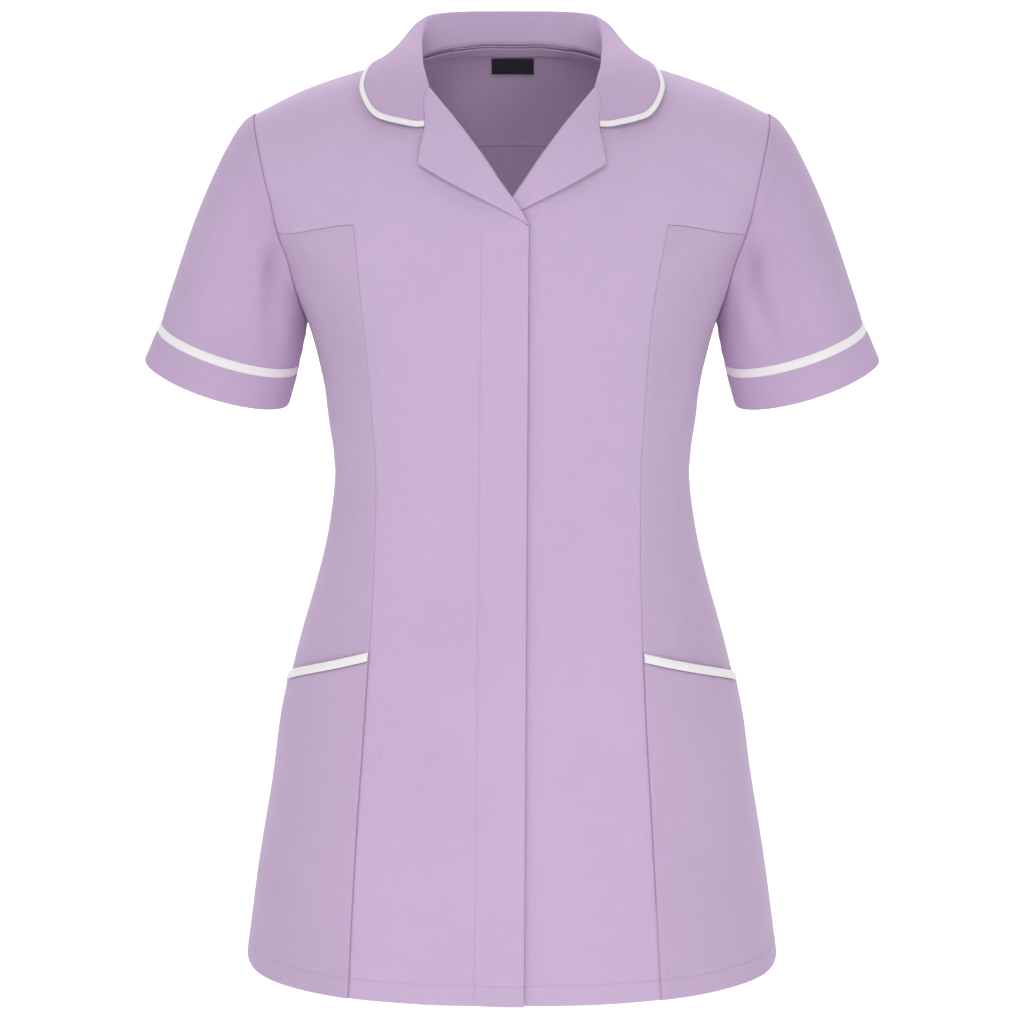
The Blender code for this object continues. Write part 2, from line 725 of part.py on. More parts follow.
def upper_charts(side, base):
    """Rows above the cross seam, blended between the neckline and the armhole."""
    armhole = armhole_charts(False)
    start = len(ROW_UPS) - 1 - UNDERARM_ROW
    shoulder_x = armhole_out(ARMHOLE[-1][0])[0]
    places = [(theta - base[0][0]) / (base[-1][0] - base[0][0]) for theta, level in base]
    top = [ridge_chart(side * mix(NECK_SIDE_OUT, shoulder_x, u)) for u in places]
    rows = []
    for i in range(1, UPPER_ROWS + 1):
        v = upper_share(i)
        inner = neckline_chart(side, i / UPPER_ROWS)
        outer = (side * armhole[start + i][0], armhole[start + i][1])
        row = []
        for j, u in enumerate(places):
            place = []
            for k in range(2):
                across = mix(inner[k], outer[k], u)
                upward = mix(base[j][k], top[j][k], v)
                low = mix(base[0][k], base[-1][k], u)
                high = mix(top[0][k], top[-1][k], u)
                place.append(across + upward - mix(low, high, v))
            row.append(tuple(place))
        rows.append(row)
    return rows


def front_rise(side, x):
    """The right front rides over the left one near the centre, and the left one sinks."""
    near = min(max((FLY_WIDTH - OVERLAP - side * x) / FLY_RAMP, 0.0), 1.0)
    return FLY_RISE * near if side < 0 else -LEFT_SINK * near


def front_pieces(side, word):
    charts = front_charts(side)
    rows = len(charts)
    cols = len(charts[0])
    last_low = len(ROW_UPS) - 1
    side_cells = np.zeros((rows - 1, cols - 1), bool)
    side_cells[:last_low, FRONT_COLUMNS:] = True
    lift = np.array([[front_rise(side, body_point(*place)[0]) for place in row] for row in charts])
    thick = np.full((rows, cols), CLOTH)
    thick[:2] += HEM_EXTRA
    pull = np.full((rows, cols), HALF_GAP)
    pull[last_low + 1:, 0] = ROLL_PULL
    pull[last_low + round(GORGE_SHARE * UPPER_ROWS):, 0] = NECK_PULL
    mitre = {}
    for step in range(rows - UNDERARM_ROW):
        mitre[(UNDERARM_ROW + step, cols - 1)] = mitre_for(step, side, False)
    body_wall(f"front_{word}", charts, lift, thick, ~side_cells, pull, mitre)
    body_wall(f"side_front_{word}", charts, None, thick, side_cells, pull, mitre)


# ---- backs ------------------------------------------------------------------------------

def level_at(theta, up):
    """The level of the outside's point at this angle and height."""
    level = up
    for step in range(8):
        x = body_point(theta, level)[0]
        w = (up - PEAK_UP) / (ridge_at(abs(x))[0] - PEAK_UP)
        level = PEAK_UP + w * (RIDGE_LEVEL - PEAK_UP)
    return level


def yoke_seam_level(theta, armhole_place):
    """The yoke seam's level across the back, from the armhole to the centre."""
    start_up = body_point(*armhole_place)[2] + SHOULDER_UP
    share = (theta - armhole_place[0]) / (math.pi - armhole_place[0])
    return level_at(theta, mix(start_up, YOKE_SEAM_UP, math.sin(0.5 * math.pi * share)))


def back_half():
    """The left half of the back below the yoke: rows up from the hem, columns from the side."""
    armhole = armhole_charts(True)
    ups = [(up, (math.pi / 2, up)) for up in ROW_UPS[:UNDERARM_ROW + 1]]
    for step, up in enumerate(ROW_UPS[UNDERARM_ROW + 1:], 1):
        ups.append((up, armhole[step]))
    last = len(ROW_UPS) - 1 - UNDERARM_ROW
    for step in range(1, YOKE_ROW + 1):
        ups.append((mix(PRINCESS_TOP_UP, YOKE_SEAM_UP, step / YOKE_ROW), armhole[last + step]))
    rows = []
    for up, far in ups:
        seam = chart(back_princess_out(up)[0], up, True)
        centre = chart(0.0, up, True)
        row = []
        for j in range(SIDE_COLUMNS):
            t = j / SIDE_COLUMNS
            row.append((mix(far[0], seam[0], t), mix(seam[1], far[1], ease(1 - t))))
        for j in range(BACK_COLUMNS + 1):
            t = j / BACK_COLUMNS
            row.append((mix(seam[0], math.pi, t), mix(seam[1], centre[1], t)))
        rows.append(row)
    for step in range(1, YOKE_ROW + 1):
        row = rows[last + UNDERARM_ROW + step]
        share = step / YOKE_ROW
        rows[last + UNDERARM_ROW + step] = [
            (theta, mix(level, yoke_seam_level(theta, row[0]), share)) for theta, level in row]
    return rows


def whole_width(half):
    """Rows across the back from the wearer's left to the right, from the left half."""
    rows = []
    for row in half:
        other = [(2 * math.pi - theta, level) for theta, level in reversed(row[:-1])]
        rows.append(row + other)
    return rows


def back_pieces():
    charts = whole_width(back_half())
    rows = len(charts)
    cols = len(charts[0])
    column = np.arange(cols - 1)
    thick = np.full((rows, cols), CLOTH)
    thick[:2] += HEM_EXTRA
    mitre = {}
    for step in range(rows - UNDERARM_ROW):
        mitre[(UNDERARM_ROW + step, 0)] = mitre_for(step, 1, True)
        mitre[(UNDERARM_ROW + step, cols - 1)] = mitre_for(step, -1, True)
    parts = {
        "side_back_left": column < SIDE_COLUMNS,
        "back_centre": (column >= SIDE_COLUMNS) & (column < cols - 1 - SIDE_COLUMNS),
        "side_back_right": column >= cols - 1 - SIDE_COLUMNS,
    }
    for name, columns in parts.items():
        cells = np.broadcast_to(columns, (rows - 1, cols - 1))
        body_wall(name, charts, None, thick, cells, None, mitre)


def neck_back_chart(share, drop=0.0):
    """The left half of the back neck seam, or a line a little below it, to the centre."""
    turn = 0.5 * math.pi * share
    lean = lean_of(0.0, NECK_BACK_UP - drop)
    return lean_chart((NECK_SIDE_OUT + drop) * math.cos(turn), max(lean * math.sin(turn), 1e-9))


def yoke_piece():
    armhole = armhole_charts(True)
    first = len(ROW_UPS) - 1 - UNDERARM_ROW + YOKE_ROW
    count = UPPER_ROWS - YOKE_ROW
    shoulder_x = armhole_out(ARMHOLE[-1][0])[0]
    ridge_columns = YOKE_COLUMNS - NECK_COLUMNS
    top = []
    for j in range(ridge_columns):
        top.append(ridge_chart(mix(shoulder_x, NECK_SIDE_OUT, j / ridge_columns), True))
    for j in range(NECK_COLUMNS + 1):
        top.append(neck_back_chart(j / NECK_COLUMNS))
    low = back_half()[-1]
    rows = []
    for i in range(count + 1):
        v = math.sin(0.5 * math.pi * i / count)
        outer = armhole[first + i]
        inner = (math.pi, mix(low[-1][1], top[-1][1], v))
        row = []
        for j in range(YOKE_COLUMNS + 1):
            u = j / YOKE_COLUMNS
            place = []
            for k in range(2):
                across = mix(outer[k], inner[k], u)
                upward = mix(low[j][k], top[j][k], v)
                ends = mix(mix(low[0][k], low[-1][k], u), mix(top[0][k], top[-1][k], u), v)
                place.append(across + upward - ends)
            row.append(tuple(place))
        rows.append(row)
    charts = whole_width(rows)
    pull = np.full((len(charts), len(charts[0])), HALF_GAP)
    pull[-1, ridge_columns:-ridge_columns] = NECK_PULL
    mitre = {}
    for i in range(count + 1):
        mitre[(i, 0)] = mitre_for(first + i, 1, True)
        mitre[(i, len(charts[0]) - 1)] = mitre_for(first + i, -1, True)
    body_wall("back_yoke", charts, None, CLOTH, None, pull, mitre)


# ---- sleeves ----------------------------------------------------------------------------

def mirrored(points, side):
    return points * np.array([side, 1.0, 1.0])


def sleeve_pieces(side, word):
    cloth(f"sleeve_{word}", mirrored(SLEEVE_OUTER, side), mirrored(SLEEVE_NORMALS, side), CLOTH,
          ring=True)
    top = np.array([ring_point(SLEEVE_END, angle) for angle in SLEEVE_ANGLES])
    edge = np.array([ring_point(CUFF_END, angle) for angle in SLEEVE_ANGLES])
    slope = edge - top
    around = np.roll(top, -1, axis=0) - np.roll(top, 1, axis=0)
    normals = unit(np.cross(around, slope))
    if np.sum(normals * (top - top.mean(axis=0))) < 0:
        normals = -normals
    share = BAND_WIDTH / np.linalg.norm(slope, axis=1).mean()
    rings = [("sleeve_band", [0.0, share], BAND_CLOTH, BAND_PROUD),
             ("cuff", [share, 0.5 + share / 2, 1.0], CUFF_CLOTH, CUFF_PROUD)]
    for name, places, thick, proud in rings:
        outer = np.array([top + slope * place + normals * proud for place in places])
        facing = np.array([normals for place in places])
        cloth(f"{name}_{word}", mirrored(outer, side), mirrored(facing, side), thick, ring=True)


# ---- pockets ----------------------------------------------------------------------------

def pocket_top_up(share):
    """The white mouth's upper edge, from the princess seam to the side seam."""
    return mix(POCKET_IN_UP, POCKET_OUT_UP, share)


def side_chart(side, share, up):
    """A place between the princess seam, at 0, and the side seam, at 1."""
    seam = chart(side * front_princess_out[side](up)[0], up)
    return (mix(seam[0], side * math.pi / 2, share), up)


def pocket_pieces(side, word):
    shares = [j / SIDE_COLUMNS for j in range(SIDE_COLUMNS + 1)]
    rest = CLOTH + LAYER_GAP
    lows = [up for up in ROW_UPS if up < POCKET_OUT_UP - 2 * BAND_WIDTH]
    rows = [[side_chart(side, share, up) for share in shares] for up in lows]
    mouth = [[side_chart(side, share, pocket_top_up(share) - drop) for share in shares]
             for drop in (BAND_WIDTH, 0.0)]
    bow = np.array([POCKET_BOW * math.sin(math.pi * share) for share in shares])
    lift = np.full((len(rows) + 1, len(shares)), rest)
    lift[-1] += bow
    lift[-2] += BOW_BELOW * bow
    body_wall(f"pocket_{word}", rows + mouth[:1], lift, CLOTH)
    body_wall(f"pocket_band_{word}", mouth, np.array([rest + bow, rest + bow]) + BAND_PROUD,
              CLOTH + BAND_PROUD)


# ---- lapels -----------------------------------------------------------------------------

def lapel_edge(share):
    """out and up of a lapel's outer edge, straight between its table's rows."""
    table = np.array(LAPEL_EDGE)
    return np.array([np.interp(share, table[:, 0], table[:, k]) for k in (1, 2)])


def sheet_normals(points):
    """Normals of a grid of points, from the points beside each one."""
    down = np.gradient(points, axis=0)
    across = np.gradient(points, axis=1)
    return unit(np.cross(down, across))


def middle_wall(name, middle, normals, thick, pull=None):
    """A wall whose cloth lies evenly on both sides of the middle points."""
    return cloth(name, middle + normals * thick / 2, normals, thick, None, pull)


def lapel_place(side, share, reach, along):
    """theta and level on a lapel: reach is metres from the roll line, along the rest's share."""
    up = mix(ROLL[-1][0], BREAK_UP, share)
    roll = np.array([roll_out(up)[0], up])
    edge = lapel_edge(share)
    width = np.linalg.norm(edge - roll)
    near = min(reach, LAPEL_NEAR * width) / width
    place = mix(roll, edge, mix(near, 1.0, along))
    return chart(side * place[0], place[1]), place[0]


def lapel_section(side, share):
    """The middle points of a lapel's section, from its turn inside to its outer edge."""
    turn = 1 - float(ease((share - TURN_END[0]) / (TURN_END[1] - TURN_END[0])))
    free = 1 - float(ease((share - ROLL_END[0]) / (ROLL_END[1] - ROLL_END[0])))
    flat = LAYER_GAP + LAPEL_CLOTH / 2
    steps = []
    for step, (reach, lift) in enumerate(LAPEL_TURN):
        if side < 0:
            reach = mix(min(reach, FLAT_REACH), reach, turn)
            reach = mix(FLAT_STEP * step, reach, free)
            lift = mix(flat, lift, free)
        else:
            lift = min(lift, mix(flat, lift, free))
        steps.append((reach, 0.0, lift))
    for along in LEAF_SHARES:
        lift = float(lapel_lift(along)[0])
        steps.append((LAPEL_ROLL_REACH, along, mix(flat, lift, free)))
    points = []
    for reach, along, lift in steps:
        (theta, level), out = lapel_place(side, share, reach, along)
        lift += front_rise(side, side * out)
        points.append(body_point(theta, level) + body_normal(theta, level) * lift)
    return points


def lapel_middle(side, gorge):
    """The lapel's middle points, whose top row meets the collar's front edge, gorge."""
    end = LAPEL_RIGHT_END if side < 0 else LAPEL_LEFT_END
    above = [LAPEL_TIP * i / LAPEL_TIP_ROWS for i in range(LAPEL_TIP_ROWS + 1)]
    below = [mix(LAPEL_TIP, end, i / LAPEL_ROWS) for i in range(1, LAPEL_ROWS + 1)]
    middle = np.array([lapel_section(side, share) for share in above + below])
    first = len(LAPEL_TURN)
    move = gorge - middle[0, first:]
    for i, share in enumerate(above):
        fade = (1 - share / LAPEL_TIP) ** 2
        middle[i, first:] += move * fade
        middle[i, :first] += move[0] * fade
    return middle


# ---- collar -----------------------------------------------------------------------------

def neck_seam(share):
    """theta and level of the neck seam at a share of the collar's half."""
    if share <= RIDGE_SHARE:
        return neck_chart(1, share / RIDGE_SHARE)
    return neck_back_chart((share - RIDGE_SHARE) / (1 - RIDGE_SHARE))


def bezier(a, b, c, d, t):
    return a * (1 - t) ** 3 + 3 * b * t * (1 - t) ** 2 + 3 * c * t * t * (1 - t) + d * t ** 3


def fold_top(share):
    return fold_at(share) - np.array([0.0, 0.0, SHOULDER_UP])


def collar_section(share):
    """The left half's section: from the stand's foot over the fold to the leaf's edge."""
    edge_x, edge_lean, lift = leaf_at(share)
    place = lean_chart(max(edge_x, 0.0), edge_lean)
    edge_normal = body_normal(*place)
    edge = body_point(*place) + edge_normal * lift
    seam = neck_seam(share)
    foot = body_point(*seam) - body_normal(*seam) * STAND_FOOT
    fold = fold_top(share)
    run = fold_top(min(share + FOLD_RUN, 1.0)) - fold_top(max(share - FOLD_RUN, 0.0))
    if share > 1 - FOLD_RUN / 2:
        run = np.array([-1.0, 0.0, 0.0])
    run = unit(run)
    out = edge - fold
    out = unit(out - run * np.dot(out, run))
    level_out = unit(out - np.array([0.0, 0.0, out[2] * FOLD_LEVEL]))
    level_share = mix(FOLD_SHORT_MIX, 1.0, float(ease(share / FOLD_SHORT)))
    out = mix(unit(edge - fold), level_out, level_share)
    back = fold - edge
    size = np.linalg.norm(back)
    back = unit(back - edge_normal * np.dot(back, edge_normal))
    rise = fold - foot
    height = np.linalg.norm(rise)
    curl = min(FOLD_IN, 0.5 * height)
    above_foot = foot + rise * STAND_PULL
    points = [bezier(foot, above_foot, fold - level_out * curl, fold, t) for t in STAND_SHARES]
    over_fold = fold + out * min(FOLD_OUT, LEAF_PULL * size)
    above_edge = edge + back * size * EDGE_HANDLE
    points += [bezier(fold, over_fold, above_edge, edge, t) for t in LEAF_SHARES]
    return points


def collar_middle():
    """The whole collar's middle points, from the left gorge round the back to the right one."""
    shares = [(i / COLLAR_STEPS) ** COLLAR_CROWDING for i in range(COLLAR_STEPS + 1)]
    half = np.array([collar_section(share) for share in shares])
    half[-1, :, 0] = 0.0
    other = mirrored(half[-2::-1], -1)
    return np.concatenate([half, other])


def collar_and_lapels():
    """The collar with its white edge, and the two lapels that meet its front edges."""
    middle = collar_middle()
    normals = sheet_normals(middle)
    if normals[COLLAR_STEPS, -1, 2] < 0:
        normals = -normals
    first = len(STAND_SHARES)
    for word, side, end in (("left", 1, 0), ("right", -1, -1)):
        lapel = lapel_middle(side, middle[end, first:])
        facing = sheet_normals(lapel)
        if facing[3, -1, 1] > 0:
            facing = -facing
        turned = len(LAPEL_TURN)
        shared = unit(facing[0, turned:] + normals[end, first:])
        facing[0, turned:] = shared
        normals[end, first:] = shared
        pull = np.full(lapel.shape[:2], HALF_GAP)
        pull[0] = GORGE_HALF_GAP
        pull[0, :turned] = GORGE_PULL
        middle_wall(f"lapel_{word}", lapel, facing, LAPEL_CLOTH, pull)
    width = np.linalg.norm(middle[:, -1] - middle[:, -2], axis=1)
    share = (EDGE_WIDTH / width)[:, None]
    inner = mix(middle[:, -1], middle[:, -2], share)
    inner_normals = unit(mix(normals[:, -1], normals[:, -2], share))
    leaf = np.concatenate([middle[:, :-1], inner[:, None]], axis=1)
    leaf_normals = np.concatenate([normals[:, :-1], inner_normals[:, None]], axis=1)
    pull = np.full(leaf.shape[:2], HALF_GAP)
    pull[[0, -1]] = GORGE_HALF_GAP
    pull[[0, -1], :first] = GORGE_PULL
    middle_wall("collar", leaf, leaf_normals, COLLAR_CLOTH, pull)
    strip = np.stack([inner, middle[:, -1]], axis=1)
    strip_normals = np.stack([inner_normals, normals[:, -1]], axis=1)
    pull = np.full(strip.shape[:2], HALF_GAP)
    pull[[0, -1]] = EDGE_PULL
    middle_wall("collar_edge", strip, strip_normals, COLLAR_CLOTH + 2 * BAND_PROUD, pull)


# ---- inside the back neck ---------------------------------------------------------------

def neck_tape():
    shares = [j / NECK_COLUMNS for j in range(NECK_COLUMNS + 1) if j / NECK_COLUMNS >= TAPE_FROM]
    half = [[neck_back_chart(share, drop) for share in shares] for drop in reversed(TAPE_DROP)]
    charts = whole_width(half)
    lift = np.full((len(charts), len(charts[0])), -CLOTH - TAPE_GAP)
    body_wall("neck_tape", charts, lift, TAPE_CLOTH)


def neck_label():
    rows, cols = LABEL_CELLS
    charts = []
    for i in range(rows + 1):
        up = mix(LABEL["bottom"], LABEL["top"], i / rows)
        charts.append([chart_behind(mix(LABEL["right"], LABEL["left"], j / cols), up)
                       for j in range(cols + 1)])
    lift = np.full((rows + 1, cols + 1), -CLOTH - LABEL_GAP)
    body_wall("label", charts, lift, LABEL["thick"])


def chart_behind(x, up):
    """Like chart behind, with theta running on past a half turn to the wearer's right."""
    theta, level = chart(abs(x), up, True)
    return (theta if x >= 0 else 2 * math.pi - theta, level)


def paint():
    colours = {
        "sleeve_band": WHITE,
        "pocket_band": WHITE,
        "collar_edge": WHITE,
        "label": BLACK,
        "neck_tape": LILAC_SHADE,
    }
    for piece in tunic.objects:
        colour = LILAC
        for start, other in colours.items():
            if piece.name.startswith(start):
                colour = other
        piece.data.materials.append(material(piece.name, colour))


for old in list(bpy.data.objects):
    bpy.data.objects.remove(old)
tunic = bpy.data.collections.new("medical_tunic")
bpy.context.scene.collection.children.link(tunic)
for word, side in (("right", -1), ("left", 1)):
    front_pieces(side, word)
    sleeve_pieces(side, word)
    pocket_pieces(side, word)
back_pieces()
yoke_piece()
collar_and_lapels()
neck_tape()
neck_label()
paint()
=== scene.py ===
import math

import bmesh
import bpy
import numpy as np
from mathutils import Matrix, Vector, kdtree


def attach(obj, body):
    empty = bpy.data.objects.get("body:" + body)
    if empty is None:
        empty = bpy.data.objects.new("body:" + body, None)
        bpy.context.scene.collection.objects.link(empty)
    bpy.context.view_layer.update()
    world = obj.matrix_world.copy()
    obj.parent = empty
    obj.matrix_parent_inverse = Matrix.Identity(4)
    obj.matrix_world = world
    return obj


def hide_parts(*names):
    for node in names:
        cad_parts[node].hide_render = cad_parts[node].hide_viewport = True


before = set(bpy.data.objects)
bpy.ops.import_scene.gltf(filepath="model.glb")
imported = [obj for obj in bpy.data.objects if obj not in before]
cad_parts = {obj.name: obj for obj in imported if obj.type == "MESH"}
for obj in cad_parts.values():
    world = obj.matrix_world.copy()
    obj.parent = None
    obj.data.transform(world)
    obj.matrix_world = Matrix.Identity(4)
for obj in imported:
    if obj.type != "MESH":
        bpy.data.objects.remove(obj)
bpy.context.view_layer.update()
print("frame loaded")


# small helpers

def mixed(a, b, t):
    return a + (b - a) * t


def eased(t):
    t = np.clip(t, 0.0, 1.0)
    return t * t * (3 - 2 * t)


def fading(t, ends):  # 1 before the first end, 0 after the second
    return 1 - float(eased((t - ends[0]) / (ends[1] - ends[0])))


def unit(vector):
    return vector / np.maximum(np.linalg.norm(vector, axis=-1, keepdims=True), 1e-12)


def bell(t):
    return np.exp(-np.square(t))


def smoothCurve(rows):  # the first column of a table gives all the others, smoothly
    table = np.array(rows, float)
    keys, values = table[:, 0], table[:, 1:]
    slopes = np.gradient(values, keys, axis=0)

    def read(key):
        place = np.clip(np.asarray(key, float), keys[0], keys[-1])
        i = np.clip(np.searchsorted(keys, place) - 1, 0, len(keys) - 2)
        span = keys[i + 1] - keys[i]
        t = (place - keys[i]) / span
        stay, leave = (1 + 2 * t) * (1 - t) ** 2, t * (1 - t) ** 2 * span
        reach, arrive = t * t * (3 - 2 * t), t * t * (t - 1) * span
        return (stay[..., None] * values[i] + leave[..., None] * slopes[i]
                + reach[..., None] * values[i + 1] + arrive[..., None] * slopes[i + 1])

    return read


nearSeam = [0.0004, 0.0010, 0.0020, 0.0036]  # the rows next to a seam lie this far from it


def spread(start, end, step, nearStart=True, nearEnd=True):  # closer together near seams
    places = [start, end]
    if nearStart:
        places += [start + gap for gap in nearSeam]
    if nearEnd:
        places += [end - gap for gap in nearSeam]
    low = start + (nearSeam[-1] if nearStart else 0.0)
    high = end - (nearSeam[-1] if nearEnd else 0.0)
    count = max(1, round((high - low) / step))
    places += [mixed(low, high, i / count) for i in range(1, count)]
    places = sorted(places)
    return [p for k, p in enumerate(places) if k == 0 or p - places[k - 1] > 1e-6]


def spreadShares(length, step, nearStart=True, nearEnd=True):  # the same as shares of the length
    return [p / length for p in spread(0.0, length, step, nearStart, nearEnd)]


# the body's form: the same curves as the solids

body = {
    "shoulderUp": 0.700,       # from the hem to the shoulder line
    "peakUp": 0.560,           # above this it closes towards the shoulder ridge
    "ridgeLevel": 0.700,
    "roundness": 2.35,
    "shoulderRoundness": 2.5,
    "levels": [
        # up,   half width, front, back
        (0.000, 0.2068, 0.1490, 0.142),
        (0.060, 0.1990, 0.1420, 0.140),
        (0.138, 0.1865, 0.1335, 0.138),
        (0.203, 0.1768, 0.1255, 0.134),
        (0.251, 0.1655, 0.118, 0.125),
        (0.298, 0.1520, 0.109, 0.113),
        (0.340, 0.1420, 0.102, 0.101),
        (0.380, 0.1372, 0.099, 0.094),
        (0.420, 0.1405, 0.104, 0.095),
        (0.460, 0.1458, 0.113, 0.100),
        (0.502, 0.1560, 0.121, 0.106),
        (0.560, 0.1830, 0.121, 0.110),
        (0.604, 0.2010, 0.119, 0.110),
        (0.650, 0.2190, 0.113, 0.110),
        (0.700, 0.2330, 0.104, 0.108),
    ],
    "ridge": [                 # height of the shoulder line by distance from the centre
        (-0.020, 0.7325), (0.000, 0.7355), (0.020, 0.7325), (0.045, 0.7190),
        (0.072, 0.7020), (0.101, 0.6962), (0.128, 0.6885), (0.158, 0.6778),
        (0.196, 0.6590), (0.240, 0.6340),
    ],
    "folds": [                 # the largest ones, as in the solids
        # out,   up,    runOut, runUp, width, depth
        (-0.150, 0.615, 0.60, -0.80, 0.010, -0.0022),
        (0.150, 0.612, -0.60, -0.80, 0.010, -0.0022),
        (-0.128, 0.480, 0.25, -0.97, 0.013, -0.0015),
        (0.126, 0.472, -0.25, -0.97, 0.013, -0.0015),
        (-0.060, 0.395, 0.97, -0.22, 0.012, -0.0010),
        (0.064, 0.402, -0.97, -0.22, 0.012, -0.0010),
    ],
    "foldLength": 0.055,
    "bust": {"out": 0.078, "up": 0.520, "width": 0.050, "height": 0.055, "depth": 0.006},
    "frontFade": 4.0,          # how fast bust and folds fade in from the sides
    "probe": (5e-4, 1e-4),     # steps of angle and level that give the direction it faces
}
seams = {
    "armhole": [
        # up,   out
        (0.5020, 0.1560), (0.5160, 0.1600), (0.5400, 0.1668), (0.5750, 0.1760),
        (0.6050, 0.1832), (0.6350, 0.1902), (0.6590, 0.1960),
    ],
    "princess": [              # of the right front, and of both halves of the back
        (0.000, 0.1245), (0.116, 0.1185), (0.230, 0.1103), (0.303, 0.1058),
        (0.391, 0.1036), (0.454, 0.1066), (0.531, 0.1128), (0.587, 0.1174),
    ],
    "princessLeft": [          # the left front's lies nearer to the centre
        (0.000, 0.1133), (0.116, 0.1068), (0.230, 0.1004), (0.303, 0.0978),
        (0.391, 0.0978), (0.454, 0.1002), (0.531, 0.1058), (0.587, 0.1158),
    ],
    "roll": [                  # where a lapel rolls, from the break to the gorge
        (0.5880, -0.0125), (0.5998, -0.0066), (0.6118, 0.0024), (0.6423, 0.0240),
        (0.6681, 0.0452), (0.6850, 0.0615),
    ],
    "crossInner": 0.587,       # the cross seam at the princess seam
    "crossOuter": 0.575,       # and at the armhole
    "underarm": 0.502,
    "armholeTop": 0.659,
    "breakUp": 0.588,
    "yokeUp": 0.626,
    "neckOut": 0.0725,
    "neckBackUp": 0.7075,
    "gorgeShare": 6 / 9,       # how much of the upper rows lies below the gorge
    "upperCrowding": 0.9,
    "gap": 0.00012,            # each piece keeps this far inside its seam line
}
bodyAt = smoothCurve(body["levels"])
ridgeAt = smoothCurve(body["ridge"])
armholeOut = smoothCurve(seams["armhole"])
backPrincess = smoothCurve(seams["princess"])
frontPrincess = {-1: backPrincess, 1: smoothCurve(seams["princessLeft"])}
rollOut = smoothCurve(seams["roll"])
peakUp, ridgeLevel = body["peakUp"], body["ridgeLevel"]


def ridgeRise(x):  # from the level where the body starts to close to the shoulder line
    return ridgeAt(np.abs(x))[..., 0] - peakUp


def closing(w):
    return (1 - np.clip(w, 0, 1) ** body["shoulderRoundness"]) ** (1 / body["shoulderRoundness"])


def foldDepth(x, up):
    total = 0.0
    for out, midUp, runOut, runUp, width, depth in body["folds"]:
        along = (x - out) * runOut + (up - midUp) * runUp
        across = (x - out) * runUp - (up - midUp) * runOut
        total = total + depth * bell(across / width) * bell(along / body["foldLength"])
    return total


def bodyPoint(theta, level):  # theta is the angle from the centre front
    theta, level = np.broadcast_arrays(np.asarray(theta, float), np.asarray(level, float))
    sizes = bodyAt(level)
    cosine = np.cos(theta)
    depth = np.where(cosine > 0, sizes[..., 1], sizes[..., 2])
    n = body["roundness"]
    radius = ((np.abs(np.sin(theta)) / sizes[..., 0]) ** n + (np.abs(cosine) / depth) ** n) ** (-1 / n)
    x = radius * np.sin(theta)
    w = (level - peakUp) / (ridgeLevel - peakUp)
    side = np.where(w > 1, -1.0, 1.0)
    w = np.where(w > 1, 2 - w, w)
    up = np.where(w > 0, peakUp + w * ridgeRise(x), level)
    y = -side * radius * cosine * closing(w)
    bust = body["bust"]
    fullness = bust["depth"] * bell((np.abs(x) - bust["out"]) / bust["width"])
    fullness = fullness * bell((up - bust["up"]) / bust["height"])
    y = y - (fullness + foldDepth(x, up)) * np.clip(body["frontFade"] * cosine, 0, 1) * closing(w)
    return np.stack([x, y, up - body["shoulderUp"]], -1)


def bodyNormal(theta, level):
    turn, step = body["probe"]
    across = bodyPoint(theta + turn, level) - bodyPoint(theta - turn, level)
    rise = bodyPoint(theta, level + step) - bodyPoint(theta, level - step)
    return unit(np.cross(across, rise))


def pointsAt(charts):
    return bodyPoint(charts[..., 0], charts[..., 1])


def upOf(points):  # their height above the hem
    return points[..., 2] + body["shoulderUp"]


def chart(x, up, behind=False):  # theta and level of the point at x and this height
    x, up, behind = np.broadcast_arrays(np.asarray(x, float), np.asarray(up, float), behind)
    out = np.abs(x)
    w = np.minimum((up - peakUp) / ridgeRise(x), 1)
    level = np.where(up > peakUp, peakUp + w * (ridgeLevel - peakUp), up)
    sizes = bodyAt(level)
    depth = np.where(behind, sizes[..., 2], sizes[..., 1])
    share = np.minimum(out / sizes[..., 0], 1)
    n = body["roundness"]
    theta = np.arctan2(out, depth * (1 - share ** n) ** (1 / n))
    theta = np.where(behind, math.pi - theta, theta)
    return np.stack([np.copysign(theta, x), level], -1)


def ridgeChart(x, behind=False):
    return chart(x, peakUp + ridgeRise(x), behind)


def leanOf(x, up):
    return closing((up - peakUp) / ridgeRise(x))


def leanChart(x, lean):  # lean: -1 on the chest, 0 on the shoulder ridge, 1 on the back
    p = body["shoulderRoundness"]
    w = (1 - np.minimum(np.abs(lean), 1) ** p) ** (1 / p)
    return chart(x, peakUp + w * ridgeRise(x), np.asarray(lean) > 0)


def sideUp(up):  # the height at the side of the row at this height on the princess seam
    share = (up - seams["underarm"]) / (seams["crossInner"] - seams["underarm"])
    return np.where(share <= 0, up, mixed(seams["underarm"], seams["crossOuter"], share))


def armholeChart(up, behind):
    if up >= seams["armholeTop"] - 1e-9:
        return ridgeChart(armholeOut(seams["armholeTop"])[0], behind)
    if up <= seams["underarm"] + 1e-9:
        return np.array([math.pi / 2, up])
    return chart(armholeOut(up)[0], up, behind)


def upperArmhole(share, behind):  # a place on it by its share of the way above the cross seam
    return armholeChart(mixed(seams["crossOuter"], seams["armholeTop"], share), behind)


def upperShare(t):  # rows above the cross seam lie closer together towards the shoulder
    return math.sin(0.5 * math.pi * t) ** seams["upperCrowding"]


def patch(low, high, start, end, u, v):  # one row of a patch between four edges
    u = u[:, None]
    ends = mixed(mixed(low[0], low[-1], u), mixed(high[0], high[-1], u), v)
    return mixed(start, end, u) + mixed(low, high, v) - ends


# cloth sheets

